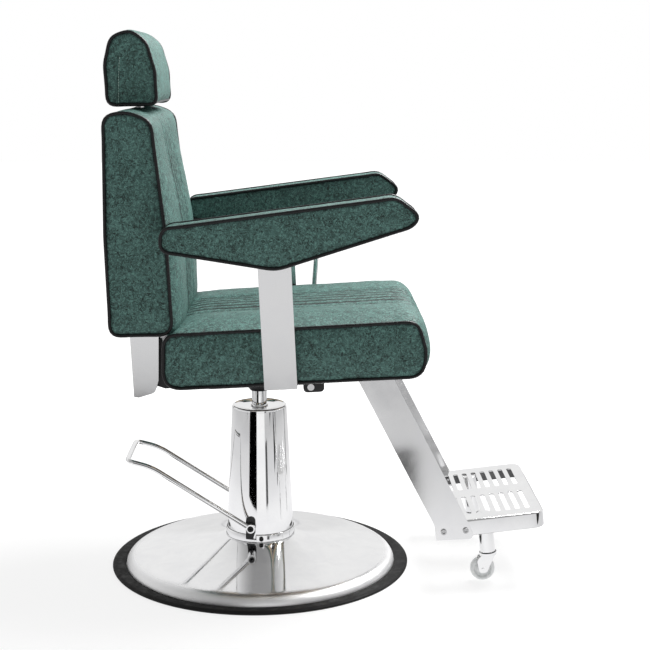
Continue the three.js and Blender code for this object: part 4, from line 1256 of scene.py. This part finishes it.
def floor():
    """A pale floor, and a second one that only reflections see, brighter round the base."""
    size = 12.0
    flat = [(-size, -size, 0), (size, -size, 0), (size, size, 0), (-size, size, 0)]
    seen = new_object("floor", flat, [[0, 1, 2, 3]])
    f = Finish("studio_floor", Specular_IOR_Level=0.0, Roughness=0.9)
    shade = (FLOOR["shade"],) * 3 + (1,)
    color = f.mix(f.noise(0.8, detail=2), shade, scaled(shade, 1, 0.02))
    axis = (AXIS_X, 0, 0)
    reach = f.node("ShaderNodeVectorMath", {0: f.place, 1: axis}, operation="DISTANCE").outputs["Value"]
    f.shader.inputs["Emission Color"].default_value = (1, 1, 1, 1)
    glow = f.span(reach, 0.5, 1.5, FLOOR["glow"], 1.05)
    seen.data.materials.append(f.wire(Base_Color=color, Emission_Strength=glow))
    seen.visible_glossy = False

    mirrored = new_object("floor_reflected", flat, [[0, 1, 2, 3]])
    made, tree, glow = glowing("floor_reflected")
    place = tree.nodes.new("ShaderNodeTexCoord")
    reach = tree.nodes.new("ShaderNodeVectorMath")
    reach.operation = "DISTANCE"
    reach.inputs[1].default_value = axis
    tree.links.new(place.outputs["Object"], reach.inputs[0])
    near = tree.nodes.new("ShaderNodeMapRange")
    reach_end = FLOOR["mirrored"][-1][0]
    near.inputs["From Max"].default_value = reach_end
    tree.links.new(reach.outputs["Value"], near.inputs["Value"])
    ramp = tree.nodes.new("ShaderNodeValToRGB")
    ramp.color_ramp.interpolation = "EASE"
    for stop, (distance, level) in zip(stops(ramp, len(FLOOR["mirrored"])), FLOOR["mirrored"]):
        stop.position, stop.color = distance / reach_end, (level, level, level * 1.01, 1)
    tree.links.new(near.outputs["Result"], ramp.inputs["Fac"])
    tree.links.new(ramp.outputs["Color"], glow.inputs["Color"])
    reflected_only(mirrored, made)


def area_light(name, place, aim, size, power):
    data = bpy.data.lights.new(name, "AREA")
    data.shape = "RECTANGLE"
    data.size, data.size_y = size
    data.energy = power
    obj = linked(name, data)
    obj.location = place
    obj.rotation_euler = (Vector(aim) - Vector(place)).to_track_quat("-Z", "Y").to_euler()


def world():
    """White to the camera. Light and reflections get a room with a bright back wall and a dim front."""
    made = bpy.data.worlds.new("studio")
    bpy.context.scene.world = made
    made.use_nodes = True
    tree = made.node_tree
    tree.nodes.clear()

    def node(kind):
        return tree.nodes.new("ShaderNode" + kind)

    axes = node("SeparateXYZ")
    tree.links.new(node("TexCoord").outputs["Generated"], axes.inputs[0])
    ramp = node("ValToRGB")
    ramp.color_ramp.elements[0].position, ramp.color_ramp.elements[0].color = 0.0, (0.6,) * 3 + (1,)
    ramp.color_ramp.elements[1].position, ramp.color_ramp.elements[1].color = 1.0, (ROOM["top"],) * 3 + (1,)
    bright, wall = ROOM["horizon"], ROOM["wall"]
    for height, level in ((0.0, bright), (0.10, bright), (0.20, wall), (0.55, wall)):
        stop = ramp.color_ramp.elements.new(0.5 + height / 2)
        stop.color = (level,) * 3 + (1,)
    up = node("MapRange")
    up.inputs["From Min"].default_value = -1
    tree.links.new(axes.outputs["Z"], up.inputs["Value"])
    tree.links.new(up.outputs["Result"], ramp.inputs["Fac"])
    depth = node("MapRange")
    depth.inputs["From Min"].default_value = -0.6
    depth.inputs["From Max"].default_value = 0.4
    depth.inputs["To Min"].default_value = ROOM["front"]
    tree.links.new(axes.outputs["Y"], depth.inputs["Value"])
    seen, light = node("Background"), node("Background")
    seen.inputs["Color"].default_value = (1, 1, 1, 1)
    tree.links.new(ramp.outputs["Color"], light.inputs["Color"])
    tree.links.new(depth.outputs["Result"], light.inputs["Strength"])
    path, mix, out = node("LightPath"), node("MixShader"), node("OutputWorld")
    tree.links.new(path.outputs["Is Camera Ray"], mix.inputs[0])
    tree.links.new(light.outputs[0], mix.inputs[1])
    tree.links.new(seen.outputs[0], mix.inputs[2])
    tree.links.new(mix.outputs[0], out.inputs["Surface"])


def card(name, y, x0, x1, height, level):
    """An upright board on the floor, along X, that only reflections see."""
    obj = new_object(name, [(x0, y, 0), (x1, y, 0), (x1, y, height), (x0, y, height)], [[0, 1, 2, 3]])
    made, _, glow = glowing(name)
    glow.inputs["Color"].default_value = (level,) * 3 + (1,)
    reflected_only(obj, made)


def studio():
    world()
    floor()
    middle = (AXIS_X + 0.1, 0, 0.5)
    area_light("overhead", (AXIS_X + 1.1, 0.55, 2.35), middle, (1.5, 1.0), KEY)
    for name, (y, x0, x1, height, level) in CARDS.items():
        card(name, y, AXIS_X + x0, AXIS_X + x1, height, level)
    bpy.context.scene.view_settings.view_transform = "Standard"
    bpy.context.scene.view_settings.look = "None"


studio()


# ---------------------------------------------------------------- box corners


def corners(box):
    return [[float(value) for value in corner] for corner in box]
